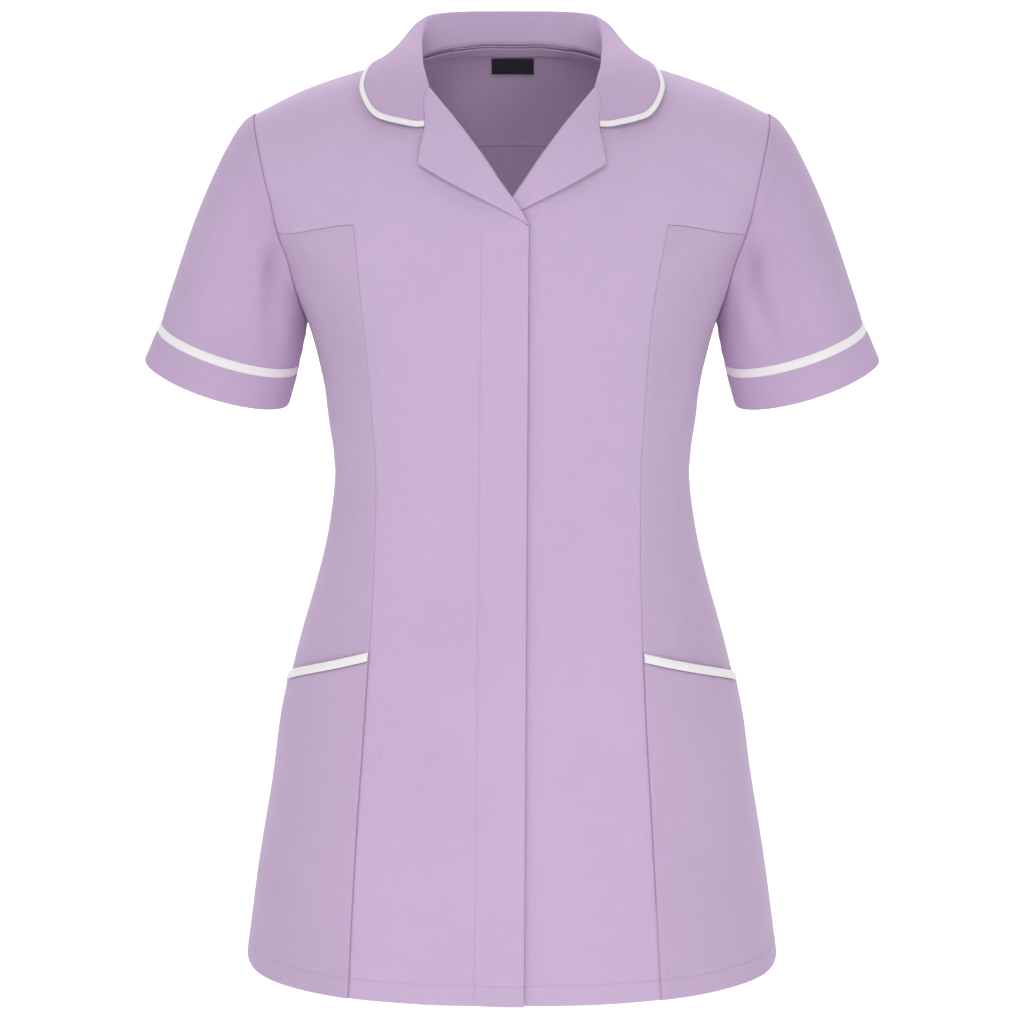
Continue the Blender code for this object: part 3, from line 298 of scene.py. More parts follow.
cloth = {
    "thick": 0.0009,
    "edgeDip": 0.00034,        # the rounding of a seamed or folded edge
    "edgeWidth": 0.0010,
    "cell": 0.0046,
    "cornerLimit": 0.6,        # keeps a sharp corner from being drawn in too far
    "leastFill": 0.3,          # of its flat rectangle, for a sheet's area
}
sheets = {}                    # what each cloth was cut to; the wider ones are printed once all pieces are made


def gridNormals(points, ring=False):
    down = np.gradient(points, axis=0)
    if ring:
        inner = points[:, :-1]
        across = np.roll(inner, -1, axis=1) - np.roll(inner, 1, axis=1)
        across = np.concatenate([across, across[:, :1]], axis=1)
        down[:, -1] = down[:, 0]
    else:
        across = np.gradient(points, axis=1)
    return unit(np.cross(down, across))


def runLengths(points, axis):
    steps = np.linalg.norm(np.diff(points, axis=axis), axis=-1)
    start = np.zeros_like(np.take(steps, [0], axis=axis))
    return np.concatenate([start, np.cumsum(steps, axis=axis)], axis=axis)


def readAlong(line, run, places):  # the points at these distances along a line
    return np.stack([np.interp(places, run, line[:, k]) for k in range(3)], -1)


def grainPlaces(points, grain):  # places on the flat cloth in metres, from a column that is its grain
    across = runLengths(points, 1)
    along = runLengths(points, 0)
    column = round(grain * (points.shape[1] - 1))
    u = across - across[:, column:column + 1]
    v = np.broadcast_to(along[:, column:column + 1], u.shape)
    return np.stack([u, v], -1)


def drawIn(mesh, gap):  # each open edge moves this far inside its seam line
    inward = {}
    for edge in mesh.edges:
        if len(edge.link_faces) == 1:
            run = (edge.verts[1].co - edge.verts[0].co).normalized()
            side = edge.link_faces[0].calc_center_median() - edge.verts[0].co
            side = (side - run * side.dot(run)).normalized()
            for point in edge.verts:
                inward.setdefault(point, []).append(side)
    for point, sides in inward.items():
        if len(sides) == 2:
            share = max(1 + sides[0].dot(sides[1]), cloth["cornerLimit"])
            point.co += (sides[0] + sides[1]) / share * gap
    return list(inward)


def gridMesh(points, normals, keep, ring, grain):  # a mesh on these points, and which way each faces
    rows, cols = points.shape[:2]
    places = grainPlaces(points, grain)
    mesh = bmesh.new()
    bmesh.ops.create_grid(mesh, x_segments=cols - 1, y_segments=rows - 1, size=1)
    uvs = mesh.loops.layers.uv.new("grain")
    index = {}
    for point in mesh.verts:
        index[point] = (round((point.co.y + 1) / 2 * (rows - 1)), round((point.co.x + 1) / 2 * (cols - 1)))
    for face in mesh.faces:
        for loop in face.loops:
            loop[uvs].uv = places[index[loop.vert]]
    if keep is not None:
        spare = []
        for face in mesh.faces:
            low = min(index[point][0] for point in face.verts)
            near = min(index[point][1] for point in face.verts)
            if not keep[low, near]:
                spare.append(face)
        bmesh.ops.delete(mesh, geom=spare, context="FACES")
    facing = {}
    for point in mesh.verts:
        point.co = Vector(points[index[point]])
        facing[point] = Vector(normals[index[point]])
    if ring:
        bmesh.ops.remove_doubles(mesh, verts=mesh.verts[:], dist=1e-6)
    mesh.normal_update()
    turned = sum(face.normal.dot(facing[face.verts[0]]) for face in mesh.faces)
    if turned < 0:
        bmesh.ops.reverse_faces(mesh, faces=mesh.faces[:])
    return mesh, facing


def roundEdges(mesh, facing, border, depth):
    tree = kdtree.KDTree(len(border))
    for k, point in enumerate(border):
        tree.insert(point.co, k)
    tree.balance()
    sunk = []
    for point in mesh.verts:
        distance = tree.find(point.co)[2]
        if distance < 4 * cloth["edgeWidth"]:
            sunk.append((point, depth * math.exp(-(distance / cloth["edgeWidth"]) ** 2)))
    for point, amount in sunk:
        point.co -= facing[point] * amount


def makeObject(name, mesh, look):
    data = bpy.data.meshes.new(name)
    mesh.to_mesh(data)
    mesh.free()
    data.shade_smooth()
    data.materials.append(look)
    piece = bpy.data.objects.new(name, data)
    bpy.context.scene.collection.objects.link(piece)
    return piece


def makeSheet(name, node, points, normals, look, keep=None, ring=False, grain=0.0,
              thick=cloth["thick"], centred=False, dip=cloth["edgeDip"], gap=seams["gap"],
              held="hung", restsOn=()):
    mesh, facing = gridMesh(points, normals, keep, ring, grain)
    roundEdges(mesh, facing, drawIn(mesh, gap), dip)
    surface = sum(face.calc_area() for face in mesh.faces)
    piece = makeObject(name, mesh, look)
    wall = piece.modifiers.new("wall", "SOLIDIFY")
    wall.thickness = thick
    wall.offset = 0.0 if centred else -1.0
    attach(piece, "root")
    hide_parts(node)
    used = points if keep is None else points[:-1, :-1][keep.any(axis=1)][:, keep.any(axis=0)]
    width = float(runLengths(used, 1)[:, -1].max())
    length = float(runLengths(used, 0)[-1].max())
    area = max(min(surface, width * length), cloth["leastFill"] * width * length)
    sheets[name] = {"piece": piece, "flat": (width, length), "area": area, "held": held,
                    "restsOn": list(restsOn)}


def lifted(charts, lift):  # points and normals of a grid of places, moved out by lift
    points, normals = pointsAt(charts), bodyNormal(charts[..., 0], charts[..., 1])
    return points + normals * np.broadcast_to(lift, points.shape[:2])[..., None], normals


# soft creases: hollows and ridges that fade at their ends

creases = {
    "wander": (0.12, 7, 40),   # its middle strays by a share of its width: size, waves, start
    "swell": (0.25, 4, 90),    # and its width changes likewise
    "past": 0.18,              # it runs on past its ends by this share of its length
    "fade": 0.42,
    "blend": 0.03,             # from front to back, and from there to the flanks
    "aheadFrom": 0.012,
    "flankFrom": 0.11,
    "flankShare": 0.6,         # how much of a flank's creases front and back take away
    "rightShift": 0.006,       # the right flank's lie this much further forward
    "drift": 0.00028,          # slow waves all over
    "hemWave": 0.0009,
    "hemWaveUp": 0.11,
    "hemWaveFront": 0.35,      # of its size at the back
    "front": [
        # out, up at the start, out, up at the end, width, depth (a hollow is negative)
        (-0.188, 0.606, -0.150, 0.578, 0.0080, -0.0011),
        (-0.176, 0.560, -0.128, 0.535, 0.0110, -0.0013),
        (-0.168, 0.585, -0.140, 0.545, 0.0070, 0.0007),
        (0.120, 0.640, 0.172, 0.612, 0.0085, -0.0012),
        (0.128, 0.612, 0.180, 0.588, 0.0090, 0.0008),
        (0.182, 0.560, 0.135, 0.522, 0.0100, -0.0012),
        (-0.066, 0.600, -0.030, 0.560, 0.0120, -0.0008),
        (0.062, 0.603, 0.036, 0.566, 0.0130, -0.0008),
        (-0.128, 0.420, -0.080, 0.398, 0.0090, -0.0010),
        (-0.130, 0.372, -0.094, 0.388, 0.0080, -0.0008),
        (0.128, 0.412, 0.088, 0.402, 0.0090, -0.0009),
        (0.131, 0.366, 0.090, 0.380, 0.0100, -0.0010),
        (-0.070, 0.250, -0.078, 0.100, 0.0200, -0.0012),
        (0.064, 0.230, 0.076, 0.060, 0.0220, -0.0013),
        (-0.040, 0.180, -0.044, 0.030, 0.0160, 0.0010),
        (0.036, 0.300, 0.042, 0.170, 0.0180, 0.0008),
        (-0.100, 0.660, -0.078, 0.620, 0.0100, -0.0007),
        (0.098, 0.664, 0.080, 0.624, 0.0100, -0.0008),
        (-0.066, 0.6255, 0.004, 0.5870, 0.0048, -0.0013),   # pressed in under the lapels
        (0.066, 0.6250, 0.018, 0.5995, 0.0044, -0.0011),
        (-0.064, 0.6545, -0.098, 0.6555, 0.0050, -0.0014),  # and under the collar's leaves
        (-0.102, 0.6585, -0.117, 0.6760, 0.0048, -0.0012),
        (0.064, 0.6545, 0.098, 0.6555, 0.0050, -0.0014),
        (0.102, 0.6585, 0.117, 0.6760, 0.0048, -0.0012),
    ],
    "back": [
        (-0.150, 0.600, -0.110, 0.560, 0.0110, -0.0016),
        (0.148, 0.604, 0.112, 0.556, 0.0120, -0.0015),
        (-0.060, 0.610, -0.030, 0.530, 0.0150, -0.0012),
        (0.055, 0.606, 0.034, 0.540, 0.0140, -0.0012),
        (-0.120, 0.396, -0.020, 0.408, 0.0080, -0.0018),
        (0.122, 0.390, 0.030, 0.412, 0.0085, -0.0017),
        (-0.100, 0.372, 0.010, 0.380, 0.0090, -0.0014),
        (0.092, 0.430, -0.012, 0.424, 0.0100, 0.0012),
        (-0.080, 0.448, -0.010, 0.436, 0.0090, -0.0012),
        (-0.070, 0.250, -0.086, 0.060, 0.0220, -0.0022),
        (0.072, 0.270, 0.080, 0.080, 0.0200, -0.0020),
        (0.010, 0.240, 0.004, 0.040, 0.0240, -0.0020),
        (-0.036, 0.200, -0.044, 0.020, 0.0180, 0.0018),
        (0.040, 0.220, 0.046, 0.030, 0.0190, 0.0017),
        (-0.110, 0.655, -0.060, 0.640, 0.0100, -0.0008),
        (0.108, 0.652, 0.064, 0.642, 0.0100, -0.0008),
    ],
    "side": [                  # by depth from the side seam instead of out
        (-0.040, 0.410, 0.030, 0.400, 0.0090, -0.0006),
        (0.036, 0.380, -0.030, 0.388, 0.0080, -0.0005),
        (-0.020, 0.470, -0.004, 0.440, 0.0100, -0.0005),
        (-0.030, 0.200, -0.040, 0.050, 0.0180, -0.0012),
        (0.032, 0.220, 0.042, 0.060, 0.0180, -0.0014),
    ],
}


def creaseSum(rows, place, up):
    wander, wanderWaves, wanderStart = creases["wander"]
    swell, swellWaves, swellStart = creases["swell"]
    past = creases["past"]
    total = np.zeros_like(place)
    for x0, up0, x1, up1, width, depth in rows:
        run = np.array([x1 - x0, up1 - up0])
        length = np.linalg.norm(run)
        run = run / length
        along = ((place - x0) * run[0] + (up - up0) * run[1]) / length
        across = (place - x0) * run[1] - (up - up0) * run[0]
        bend = wander * width * np.sin(wanderWaves * along + wanderStart * x0)
        width = width * (1 + swell * np.sin(swellWaves * along + swellStart * up0))
        fade = eased((along + past) / creases["fade"]) * eased((1 + past - along) / creases["fade"])
        total = total + depth * bell((across + bend) / width) * fade
    return total


def creaseRelief(points):
    x, y, up = points[..., 0], points[..., 1], upOf(points)
    ahead, behind = (eased((way * y - creases["aheadFrom"]) / creases["blend"]) for way in (-1, 1))
    flank = eased((np.abs(x) - creases["flankFrom"]) / creases["blend"])
    flank = flank * (1 - creases["flankShare"] * np.maximum(ahead, behind))
    relief = ahead * creaseSum(creases["front"], x, up)
    relief = relief + behind * creaseSum(creases["back"], x, up)
    sideways = np.where(x > 0, y, y + creases["rightShift"])
    relief = relief + flank * creaseSum(creases["side"], sideways, up)
    drift = np.sin(41 * x + 7 * y + 3 * np.sin(17 * up)) * np.sin(29 * up + 5 * x)
    hem = np.sin(34 * np.arctan2(x, -y) / 2.2 + 1.3) * eased(1 - up / creases["hemWaveUp"])
    hem = hem * mixed(creases["hemWaveFront"], 1.0, behind)
    return relief + creases["drift"] * drift + creases["hemWave"] * hem


# fronts

front = {
    "overlap": 0.0125,         # past the centre at the break
    "hemOverlap": 0.0090,
    "flyTop": 0.0350,          # from the front's edge to the fly's stitching
    "flyHem": 0.0378,
    "flyEnd": 0.026,           # the cloth rises from here towards the edge
    "flyRamp": 0.0190,
    "rise": 0.0025,
    "sink": 0.0014,
    "rollPull": 0.0030,        # the lapel folds round the front's edge
    "neckPull": 0.0021,
    "hemDepth": 0.0155,
    "grooveDepth": 0.00035,    # along a row of stitches
    "grooveWidth": 0.0011,
    "rowRuns": (0.036, 0.092, 0.084),  # about, from edge to fly, to princess seam, to side
    "upperRun": 0.13,          # and from the cross seam to the shoulder
    "upperCell": 0.0042,
    "neckPower": 0.8,          # the neck seam's way back to the shoulder
    "pullRun": 0.10,           # the share of the upper rows over which these set in
    "flyStitchTop": 0.006,     # above the break
    "flyStitchFade": 0.01,
}
hemDepth = front["hemDepth"]
lowUps = spread(0.0, hemDepth, cloth["cell"])
lowUps += spread(hemDepth, seams["crossInner"], cloth["cell"])[1:]
upperPlaces = spreadShares(front["upperRun"], front["upperCell"])
flyPlaces, mainPlaces, sidePlaces = (spreadShares(run, cloth["cell"]) for run in front["rowRuns"])
crossRow = len(lowUps) - 1
flyColumn = len(flyPlaces) - 1
princessColumn = flyColumn + len(mainPlaces) - 1


def frontEdgeOut(up):
    return mixed(front["hemOverlap"], front["overlap"], min(up / seams["breakUp"], 1.0))


def flyOut(up):  # from the centre to the fly's stitching
    width = mixed(front["flyHem"], front["flyTop"], min(up / seams["breakUp"], 1.0))
    return width - frontEdgeOut(up)


def neckChart(side, share):  # the front neck seam, from the gorge to the shoulder ridge
    gorgeUp, gorgeOut = seams["roll"][-1]
    out = mixed(gorgeOut, seams["neckOut"], math.sin(0.5 * math.pi * share))
    return leanChart(side * out, -leanOf(gorgeOut, gorgeUp) * (1 - share) ** front["neckPower"])


def necklineChart(side, t):  # the roll line, then the neck seam
    if t <= seams["gorgeShare"]:
        up = mixed(seams["breakUp"], seams["roll"][-1][0], t / seams["gorgeShare"])
        return chart(side * rollOut(up)[0], up)
    return neckChart(side, (t - seams["gorgeShare"]) / (1 - seams["gorgeShare"]))


def shiftedOut(place, side, distance):  # a place moved towards the side by this many metres
    turn = 1e-3
    run = np.linalg.norm(bodyPoint(place[0] + turn, place[1]) - bodyPoint(*place))
    return np.array([place[0] + side * distance * turn / run, place[1]])


def frontCharts(side):
    rows = []
    turn = np.array([side, 1.0])
    for up in lowUps:
        near = chart(-side * frontEdgeOut(up), up)
        fly = chart(side * flyOut(up), up)
        seam = chart(side * frontPrincess[side](up)[0], up)
        far = armholeChart(float(sideUp(up)), False) * turn
        fly[1] = near[1]
        row = [mixed(near, fly, t) for t in flyPlaces[:-1]]
        row += [mixed(fly, seam, t) for t in mainPlaces[:-1]]
        row += [np.array([mixed(seam[0], far[0], t), mixed(seam[1], far[1], eased(t))])
                for t in sidePlaces]
        rows.append(np.array(row))
    low = rows[-1]
    shoulder = armholeOut(seams["armholeTop"])[0]
    u = (low[:, 0] - low[0, 0]) / (low[-1, 0] - low[0, 0])
    high = ridgeChart(side * mixed(seams["neckOut"], shoulder, u))
    high[0] = shiftedOut(high[0], side, front["neckPull"])
    for t in upperPlaces[1:]:
        v = upperShare(t)
        pull = front["rollPull"] if t < seams["gorgeShare"] else front["neckPull"]
        start = shiftedOut(necklineChart(side, t), side, pull * float(eased(t / front["pullRun"])))
        end = upperArmhole(v, False) * turn
        rows.append(patch(low, high, start, end, u, v))
    return np.array(rows)


def frontRise(side, x):
    near = np.clip((front["flyEnd"] - side * x) / front["flyRamp"], 0, 1)
    return front["rise"] * near if side < 0 else -front["sink"] * near


def groove(distance):
    return -front["grooveDepth"] * bell(distance / front["grooveWidth"])


def frontPieces(side, word, look, sideLook):
    charts = frontCharts(side)
    flat = pointsAt(charts)
    ups = upOf(flat)
    lift = frontRise(side, flat[..., 0]) + creaseRelief(flat) + groove(ups - hemDepth)
    if side < 0:
        run = runLengths(flat, 1)
        below = eased((seams["breakUp"] + front["flyStitchTop"] - ups) / front["flyStitchFade"])
        lift = lift + groove(run - run[:, flyColumn:flyColumn + 1]) * below
    points, normals = lifted(charts, lift)
    keep = np.ones((points.shape[0] - 1, points.shape[1] - 1), bool)
    keep[:crossRow, princessColumn:] = False
    makeSheet(f"front{word}", f"front_{word.lower()}", points, normals, look, keep=keep)
    lower = (slice(0, crossRow + 1), slice(princessColumn, None))
    makeSheet(f"sideFront{word}", f"side_front_{word.lower()}", points[lower], normals[lower],
              sideLook, grain=0.4)
    return points, normals


# backs and yoke

back = {
    "yokeShare": 3 / 9,        # where along the armhole the yoke seam ends
    "ridgeShare": 7 / 13,      # how much of the yoke's top lies on the shoulder
    "neckPull": 0.0010,
    "belowRun": 0.045,         # from the cross seam up to the yoke
    "yokeRun": 0.125,
    "centreRun": 0.130,        # from the princess seam to the centre
    "softRounds": 40,          # how the bend at the neck's corner is spread over the yoke
    "softColumns": 9.0,
    "softLow": 0.4,
    "softHigh": 0.08,
    "levelRounds": 10,         # to find the level of a height on the curved shoulder
    "yokeDip": 0.0005,
    "yokeGap": -0.0004,        # the yoke's edge lies under its neighbours'
}
belowPlaces = spreadShares(back["belowRun"], cloth["cell"])
centrePlaces = spreadShares(back["centreRun"], cloth["cell"], nearEnd=False)


def levelAt(theta, up):  # the level of the point at this angle and height
    level = np.full_like(theta, up)
    for step in range(back["levelRounds"]):
        w = (up - peakUp) / ridgeRise(bodyPoint(theta, level)[..., 0])
        level = peakUp + w * (ridgeLevel - peakUp)
    return level


def yokeSeamLevel(theta, armholePlace):
    startUp = upOf(bodyPoint(*armholePlace))
    share = (theta - armholePlace[0]) / (math.pi - armholePlace[0])
    return levelAt(theta, mixed(startUp, seams["yokeUp"], np.sin(0.5 * math.pi * share)))


def backHalf():  # the left half below the yoke: rows from the hem, columns from the side
    levels = [(up, armholeChart(float(sideUp(up)), True), 0.0) for up in lowUps]
    for t in belowPlaces[1:]:
        up = mixed(seams["crossInner"], seams["yokeUp"], t)
        levels.append((up, upperArmhole(upperShare(t * back["yokeShare"]), True), t))
    rows = []
    for up, far, share in levels:
        seam = chart(backPrincess(up)[0], up, True)
        centre = chart(0.0, up, True)
        row = [np.array([mixed(far[0], seam[0], t), mixed(seam[1], far[1], eased(1 - t))])
               for t in sidePlaces[:-1]]
        row += [np.array([mixed(seam[0], math.pi, t), mixed(seam[1], centre[1], t)])
                for t in centrePlaces]
        rows.append(row)
    rows = np.array(rows)
    top = rows[-1]
    shift = yokeSeamLevel(top[:, 0], top[0]) - top[:, 1]
    shares = np.array([share for up, far, share in levels])
    rows[..., 1] += shares[:, None] * shift
    return rows


def wholeWidth(half):
    other = half[:, -2::-1].copy()
    other[..., 0] = 2 * math.pi - other[..., 0]
    return np.concatenate([half, other], axis=1)


def neckBackChart(share, drop=0.0):  # the back neck seam, or a line a little below it
    turn = 0.5 * math.pi * share
    lean = leanOf(0.0, seams["neckBackUp"] - drop)
    return leanChart((seams["neckOut"] + drop) * math.cos(turn), max(lean * math.sin(turn), 1e-9))


def backPieces(look, sideLook):
    charts = wholeWidth(backHalf())
    flat = pointsAt(charts)
    points, normals = lifted(charts, creaseRelief(flat) + groove(upOf(flat) - hemDepth))
    cols = points.shape[1]
    edge = len(sidePlaces) - 1
    parts = [("sideBackLeft", "side_back_left", slice(0, edge + 1), sideLook, 0.6),
             ("backCentre", "back_centre", slice(edge, cols - edge), look, 0.5),
             ("sideBackRight", "side_back_right", slice(cols - 1 - edge, cols), sideLook, 0.4)]
    for name, node, columns, finish, grain in parts:
        makeSheet(name, node, points[:, columns], normals[:, columns], finish, grain=grain)
    return points, normals


def yokeCharts():
    low = backHalf()[-1]
    share = back["ridgeShare"]
    u = [mixed(0.0, share, t) for t in sidePlaces[:-1]] + [mixed(share, 1.0, t) for t in centrePlaces]
    shoulder = armholeOut(seams["armholeTop"])[0]
    high = []
    for place in u:
        if place < share:
            high.append(ridgeChart(mixed(shoulder, seams["neckOut"], place / share), True))
        else:
            high.append(neckBackChart((place - share) / (1 - share), back["neckPull"]))
    high = np.array(high)
    rows = []
    for t in spreadShares(back["yokeRun"], front["upperCell"]):
        v = math.sin(0.5 * math.pi * t)
        start = upperArmhole(upperShare(mixed(back["yokeShare"], 1.0, t)), True)
        end = np.array([math.pi, mixed(low[-1][1], high[-1][1], v)])
        rows.append(patch(low, high, start, end, np.array(u), v))
    rows = np.array(rows)
    soft = rows.copy()
    for step in range(back["softRounds"]):
        soft[:, 1:-1] = (soft[:, :-2] + 2 * soft[:, 1:-1] + soft[:, 2:]) / 4
    rise = np.linspace(0.0, 1.0, len(rows))[:, None]
    near = bell((np.arange(rows.shape[1]) - len(sidePlaces) + 1) / back["softColumns"])[None, :]
    amount = near * eased(rise / back["softLow"]) * eased((1 - rise) / back["softHigh"])
    return wholeWidth(mixed(rows, soft, amount[..., None]))


def yokePiece(look):
    charts = yokeCharts()
    points, normals = lifted(charts, creaseRelief(pointsAt(charts)))
    makeSheet("backYoke", "back_yoke", points, normals, look, grain=0.5,
              dip=back["yokeDip"], gap=back["yokeGap"])


# sleeves, bands and cuffs

sleeve = {
    "end": {"out": 0.2163, "up": 0.4842, "wide": 0.0552, "deep": 0.0450},
    "cuffEnd": {"out": 0.2262, "up": 0.4545, "wide": 0.0572, "deep": 0.0500},
    "slant": math.radians(17.0),
    "lean": math.radians(8.0),
    "leaveOut": (0.20, 0.84),  # how its lengthwise curves set off, underarm and shoulder
    "leavePower": 0.8,
    "leaveDown": (0.98, 0.35),
    "leaveForward": 0.16,
    "leavePull": (0.90, 0.50),
    "arrivePull": (1.00, 0.52),
    "folds": [                 # the largest ones, as in the solids
        # front, round, down, slant, width, length, depth
        (1, 0.36, 0.16, 0.10, 0.10, 0.30, -0.0050),
        (1, 0.62, 0.45, -0.12, 0.09, 0.45, -0.0026),
        (1, 0.48, 0.60, 0.06, 0.07, 0.40, 0.0024),
        (-1, 0.38, 0.20, 0.12, 0.10, 0.34, -0.0046),
        (-1, 0.60, 0.55, -0.10, 0.09, 0.42, -0.0024),
    ],
    "creases": {               # finer ones, each sleeve with its own
        "Right": [
            (1, 0.80, 0.17, -0.50, 0.130, 0.090, -0.0022),
            (1, 0.62, 0.17, -0.50, 0.200, 0.095, -0.0026),
            (1, 0.58, 0.26, -0.30, 0.050, 0.26, -0.0012),
            (1, 0.50, 0.66, -0.14, 0.040, 0.30, -0.0024),
            (1, 0.40, 0.60, -0.10, 0.045, 0.30, 0.0016),
            (1, 0.22, 0.50, 0.12, 0.060, 0.36, 0.0012),
            (1, 0.74, 0.70, -0.10, 0.055, 0.30, 0.0008),
            (-1, 0.50, 0.34, 0.12, 0.055, 0.30, -0.0014),
            (-1, 0.30, 0.60, 0.10, 0.060, 0.30, 0.0012),
        ],
        "Left": [
            (1, 0.77, 0.16, -0.45, 0.130, 0.090, -0.0020),
            (1, 0.58, 0.18, -0.40, 0.210, 0.100, -0.0024),
            (1, 0.56, 0.30, -0.26, 0.055, 0.28, -0.0010),
            (1, 0.40, 0.66, 0.14, 0.045, 0.30, -0.0022),
            (1, 0.30, 0.52, 0.10, 0.050, 0.32, 0.0014),
            (-1, 0.48, 0.40, 0.16, 0.055, 0.30, -0.0013),
            (-1, 0.66, 0.66, -0.08, 0.060, 0.30, 0.0010),
        ],
    },
    "aroundCell": 0.0050,
    "loopSteps": 34,           # up the armhole, where its own line is read
    "loopPower": 1.1,
    "downRun": 0.15,           # about, from the armhole to the band
    "downCell": 0.0048,
    "headSize": 0.0012,        # the fullness of its head, over the shoulder
    "headFrom": 0.35,
    "headBlend": 0.4,
    "headRun": 0.18,
    "foldStart": 0.06,         # folds fade in from the armhole, and out before the band
    "foldEnd": 0.15,
    "drift": 0.0003,
    "dip": 0.0004,
    "gap": -0.0003,            # its edge lies under its neighbours'
    "bandWidth": 0.0065,
    "rings": [
        # name, node, run down it, cell, proud, thick, gap
        ("sleeveBand", "sleeve_band", 0.007, 0.002, 0.0005, 0.0010, -0.0005),
        ("cuff", "cuff", 0.026, 0.004, 0.0009, 0.0014, seams["gap"]),
    ],
    "waves": [                 # of the band and cuff: size, turns, start
        (0.0008, 3, {"Left": 1.0, "Right": 2.2}),
        (0.0004, 5, {"Left": 0.0, "Right": 0.0}),
    ],
    "cuffStitch": 0.0022,      # below the band
    "cuffGroove": 0.8,
}
slant, lean = sleeve["slant"], sleeve["lean"]
sleeveAxis = np.array([math.sin(slant), 0.0, -math.cos(slant)])


def ringPoint(ring, angle):  # angle 0 is outermost, and a quarter turn is in front
    angle = np.asarray(angle, float)[..., None]
    across = np.array([math.cos(slant), 0.0, math.sin(slant)])
    forward = np.array([0.0, -math.cos(lean), -math.sin(lean)])
    centre = np.array([ring["out"], 0.0, ring["up"] - body["shoulderUp"]])
    return centre + across * ring["wide"] * np.cos(angle) + forward * ring["deep"] * np.sin(angle)


def armholeLoop(side):  # up the front to the shoulder and down the back, on the left
    ups = np.sin(0.5 * math.pi * np.linspace(0, 1, sleeve["loopSteps"])) ** sleeve["loopPower"]
    ups = mixed(seams["underarm"], seams["armholeTop"], ups)
    ahead = np.array([armholeChart(up, False) for up in ups])
    rear = np.array([armholeChart(up, True) for up in ups])
    loop = np.concatenate([ahead, rear[-2:0:-1]])
    points = pointsAt(loop)
    relief = creaseRelief(points * np.array([side, 1.0, 1.0]))
    points = points + bodyNormal(loop[:, 0], loop[:, 1]) * relief[:, None]
    closed = np.concatenate([points, points[:1]])
    run = runLengths(closed, 0)
    top = len(ups) - 1
    count = round(run[-1] / sleeve["aroundCell"] / 2)
    wanted = np.interp(np.arange(2 * count + 1), [0, count, 2 * count], [0, run[top], run[-1]])
    return readAlong(closed, run, wanted), math.pi * (1 - np.arange(2 * count + 1) / count)


def foldSum(rows, angles, down):
    place = 1 - np.abs(angles) / math.pi
    total = np.zeros_like(angles)
    for ahead, middlePlace, middle, lean, width, length, depth in rows:
        here = (np.sin(angles) >= 0) == (ahead > 0)
        across = (place - middlePlace - lean * (down - middle)) / width
        total = total + here * depth * bell(across) * bell((down - middle) / length)
    return total


def sleeveRelief(angles, down, word):
    rise = 0.5 + 0.5 * np.cos(angles)
    head = sleeve["headSize"] * eased((rise - sleeve["headFrom"]) / sleeve["headBlend"])
    head = head * bell(down / sleeve["headRun"])
    fade = min(1.0, down / sleeve["foldStart"]) * min(1.0, (1 - down) / sleeve["foldEnd"])
    folds = foldSum(sleeve["folds"] + sleeve["creases"][word], angles, down)
    drift = sleeve["drift"] * np.sin(5 * angles + 9 * down) * np.sin(7 * down + 1)
    return head + fade * (folds + drift)


def sleevePoints(loop, angles, downs):
    end = ringPoint(sleeve["end"], angles)
    rise = 0.5 + 0.5 * np.cos(angles)
    leave = unit(np.stack([mixed(*sleeve["leaveOut"], rise ** sleeve["leavePower"]),
                           -sleeve["leaveForward"] * np.sin(angles),
                           -mixed(*sleeve["leaveDown"], rise ** 2)], -1))
    span = np.linalg.norm(end - loop, axis=-1)
    leave = leave * (span * mixed(*sleeve["leavePull"], rise ** 2))[:, None]
    arrive = sleeveAxis * (span * mixed(*sleeve["arrivePull"], rise))[:, None]
    rows = []
    for t in downs:
        stay, reach = (1 + 2 * t) * (1 - t) ** 2, t * t * (3 - 2 * t)
        rows.append(loop * stay + leave * t * (1 - t) ** 2 + end * reach - arrive * t * t * (1 - t))
    return np.array(rows)


def sleevePieces(side, word, look, white):
    loop, angles = armholeLoop(side)
    downs = spreadShares(sleeve["downRun"], sleeve["downCell"])
    plain = sleevePoints(loop, angles, downs)
    normals = gridNormals(plain, ring=True)
    normals = normals * np.sign(np.sum(normals * (plain - plain.mean(axis=1, keepdims=True))))
    relief = np.array([sleeveRelief(angles, down, word) for down in downs])
    points = plain + normals * relief[..., None]
    flip = np.array([side, 1.0, 1.0])
    low = word.lower()
    makeSheet(f"sleeve{word}", f"sleeve_{low}", points * flip, normals * flip, look, ring=True,
              grain=0.5, dip=sleeve["dip"], gap=sleeve["gap"])
    top = ringPoint(sleeve["end"], angles)
    edge = ringPoint(sleeve["cuffEnd"], angles)
    slope = edge - top
    facing = gridNormals(np.stack([top, edge]), ring=True)[0]
    facing = facing * np.sign(np.sum(facing * (top - top.mean(axis=0))))
    depth = np.linalg.norm(slope, axis=1).mean()
    share = sleeve["bandWidth"] / depth
    wave = sum(size * np.sin(turns * angles + start[word]) for size, turns, start in sleeve["waves"])
    spans = {"sleeveBand": (0.0, share, white), "cuff": (share, 1.0, look)}
    for name, node, run, cell, proud, thick, gap in sleeve["rings"]:
        start, stop, finish = spans[name]
        rows = []
        for place in [mixed(start, stop, p) for p in spreadShares(run, cell)]:
            crown = proud + wave * place
            if name == "cuff":
                crown = crown + groove((place - share) * depth - sleeve["cuffStitch"]) * sleeve["cuffGroove"]
            rows.append(top + slope * place + facing * crown[:, None])
        directions = np.array([facing for row in rows])
        makeSheet(f"{name}{word}", f"{node}_{low}", np.array(rows) * flip, directions * flip, finish,
                  ring=True, grain=0.5, thick=thick, gap=gap, restsOn=[f"sleeve{word}"])


# pockets

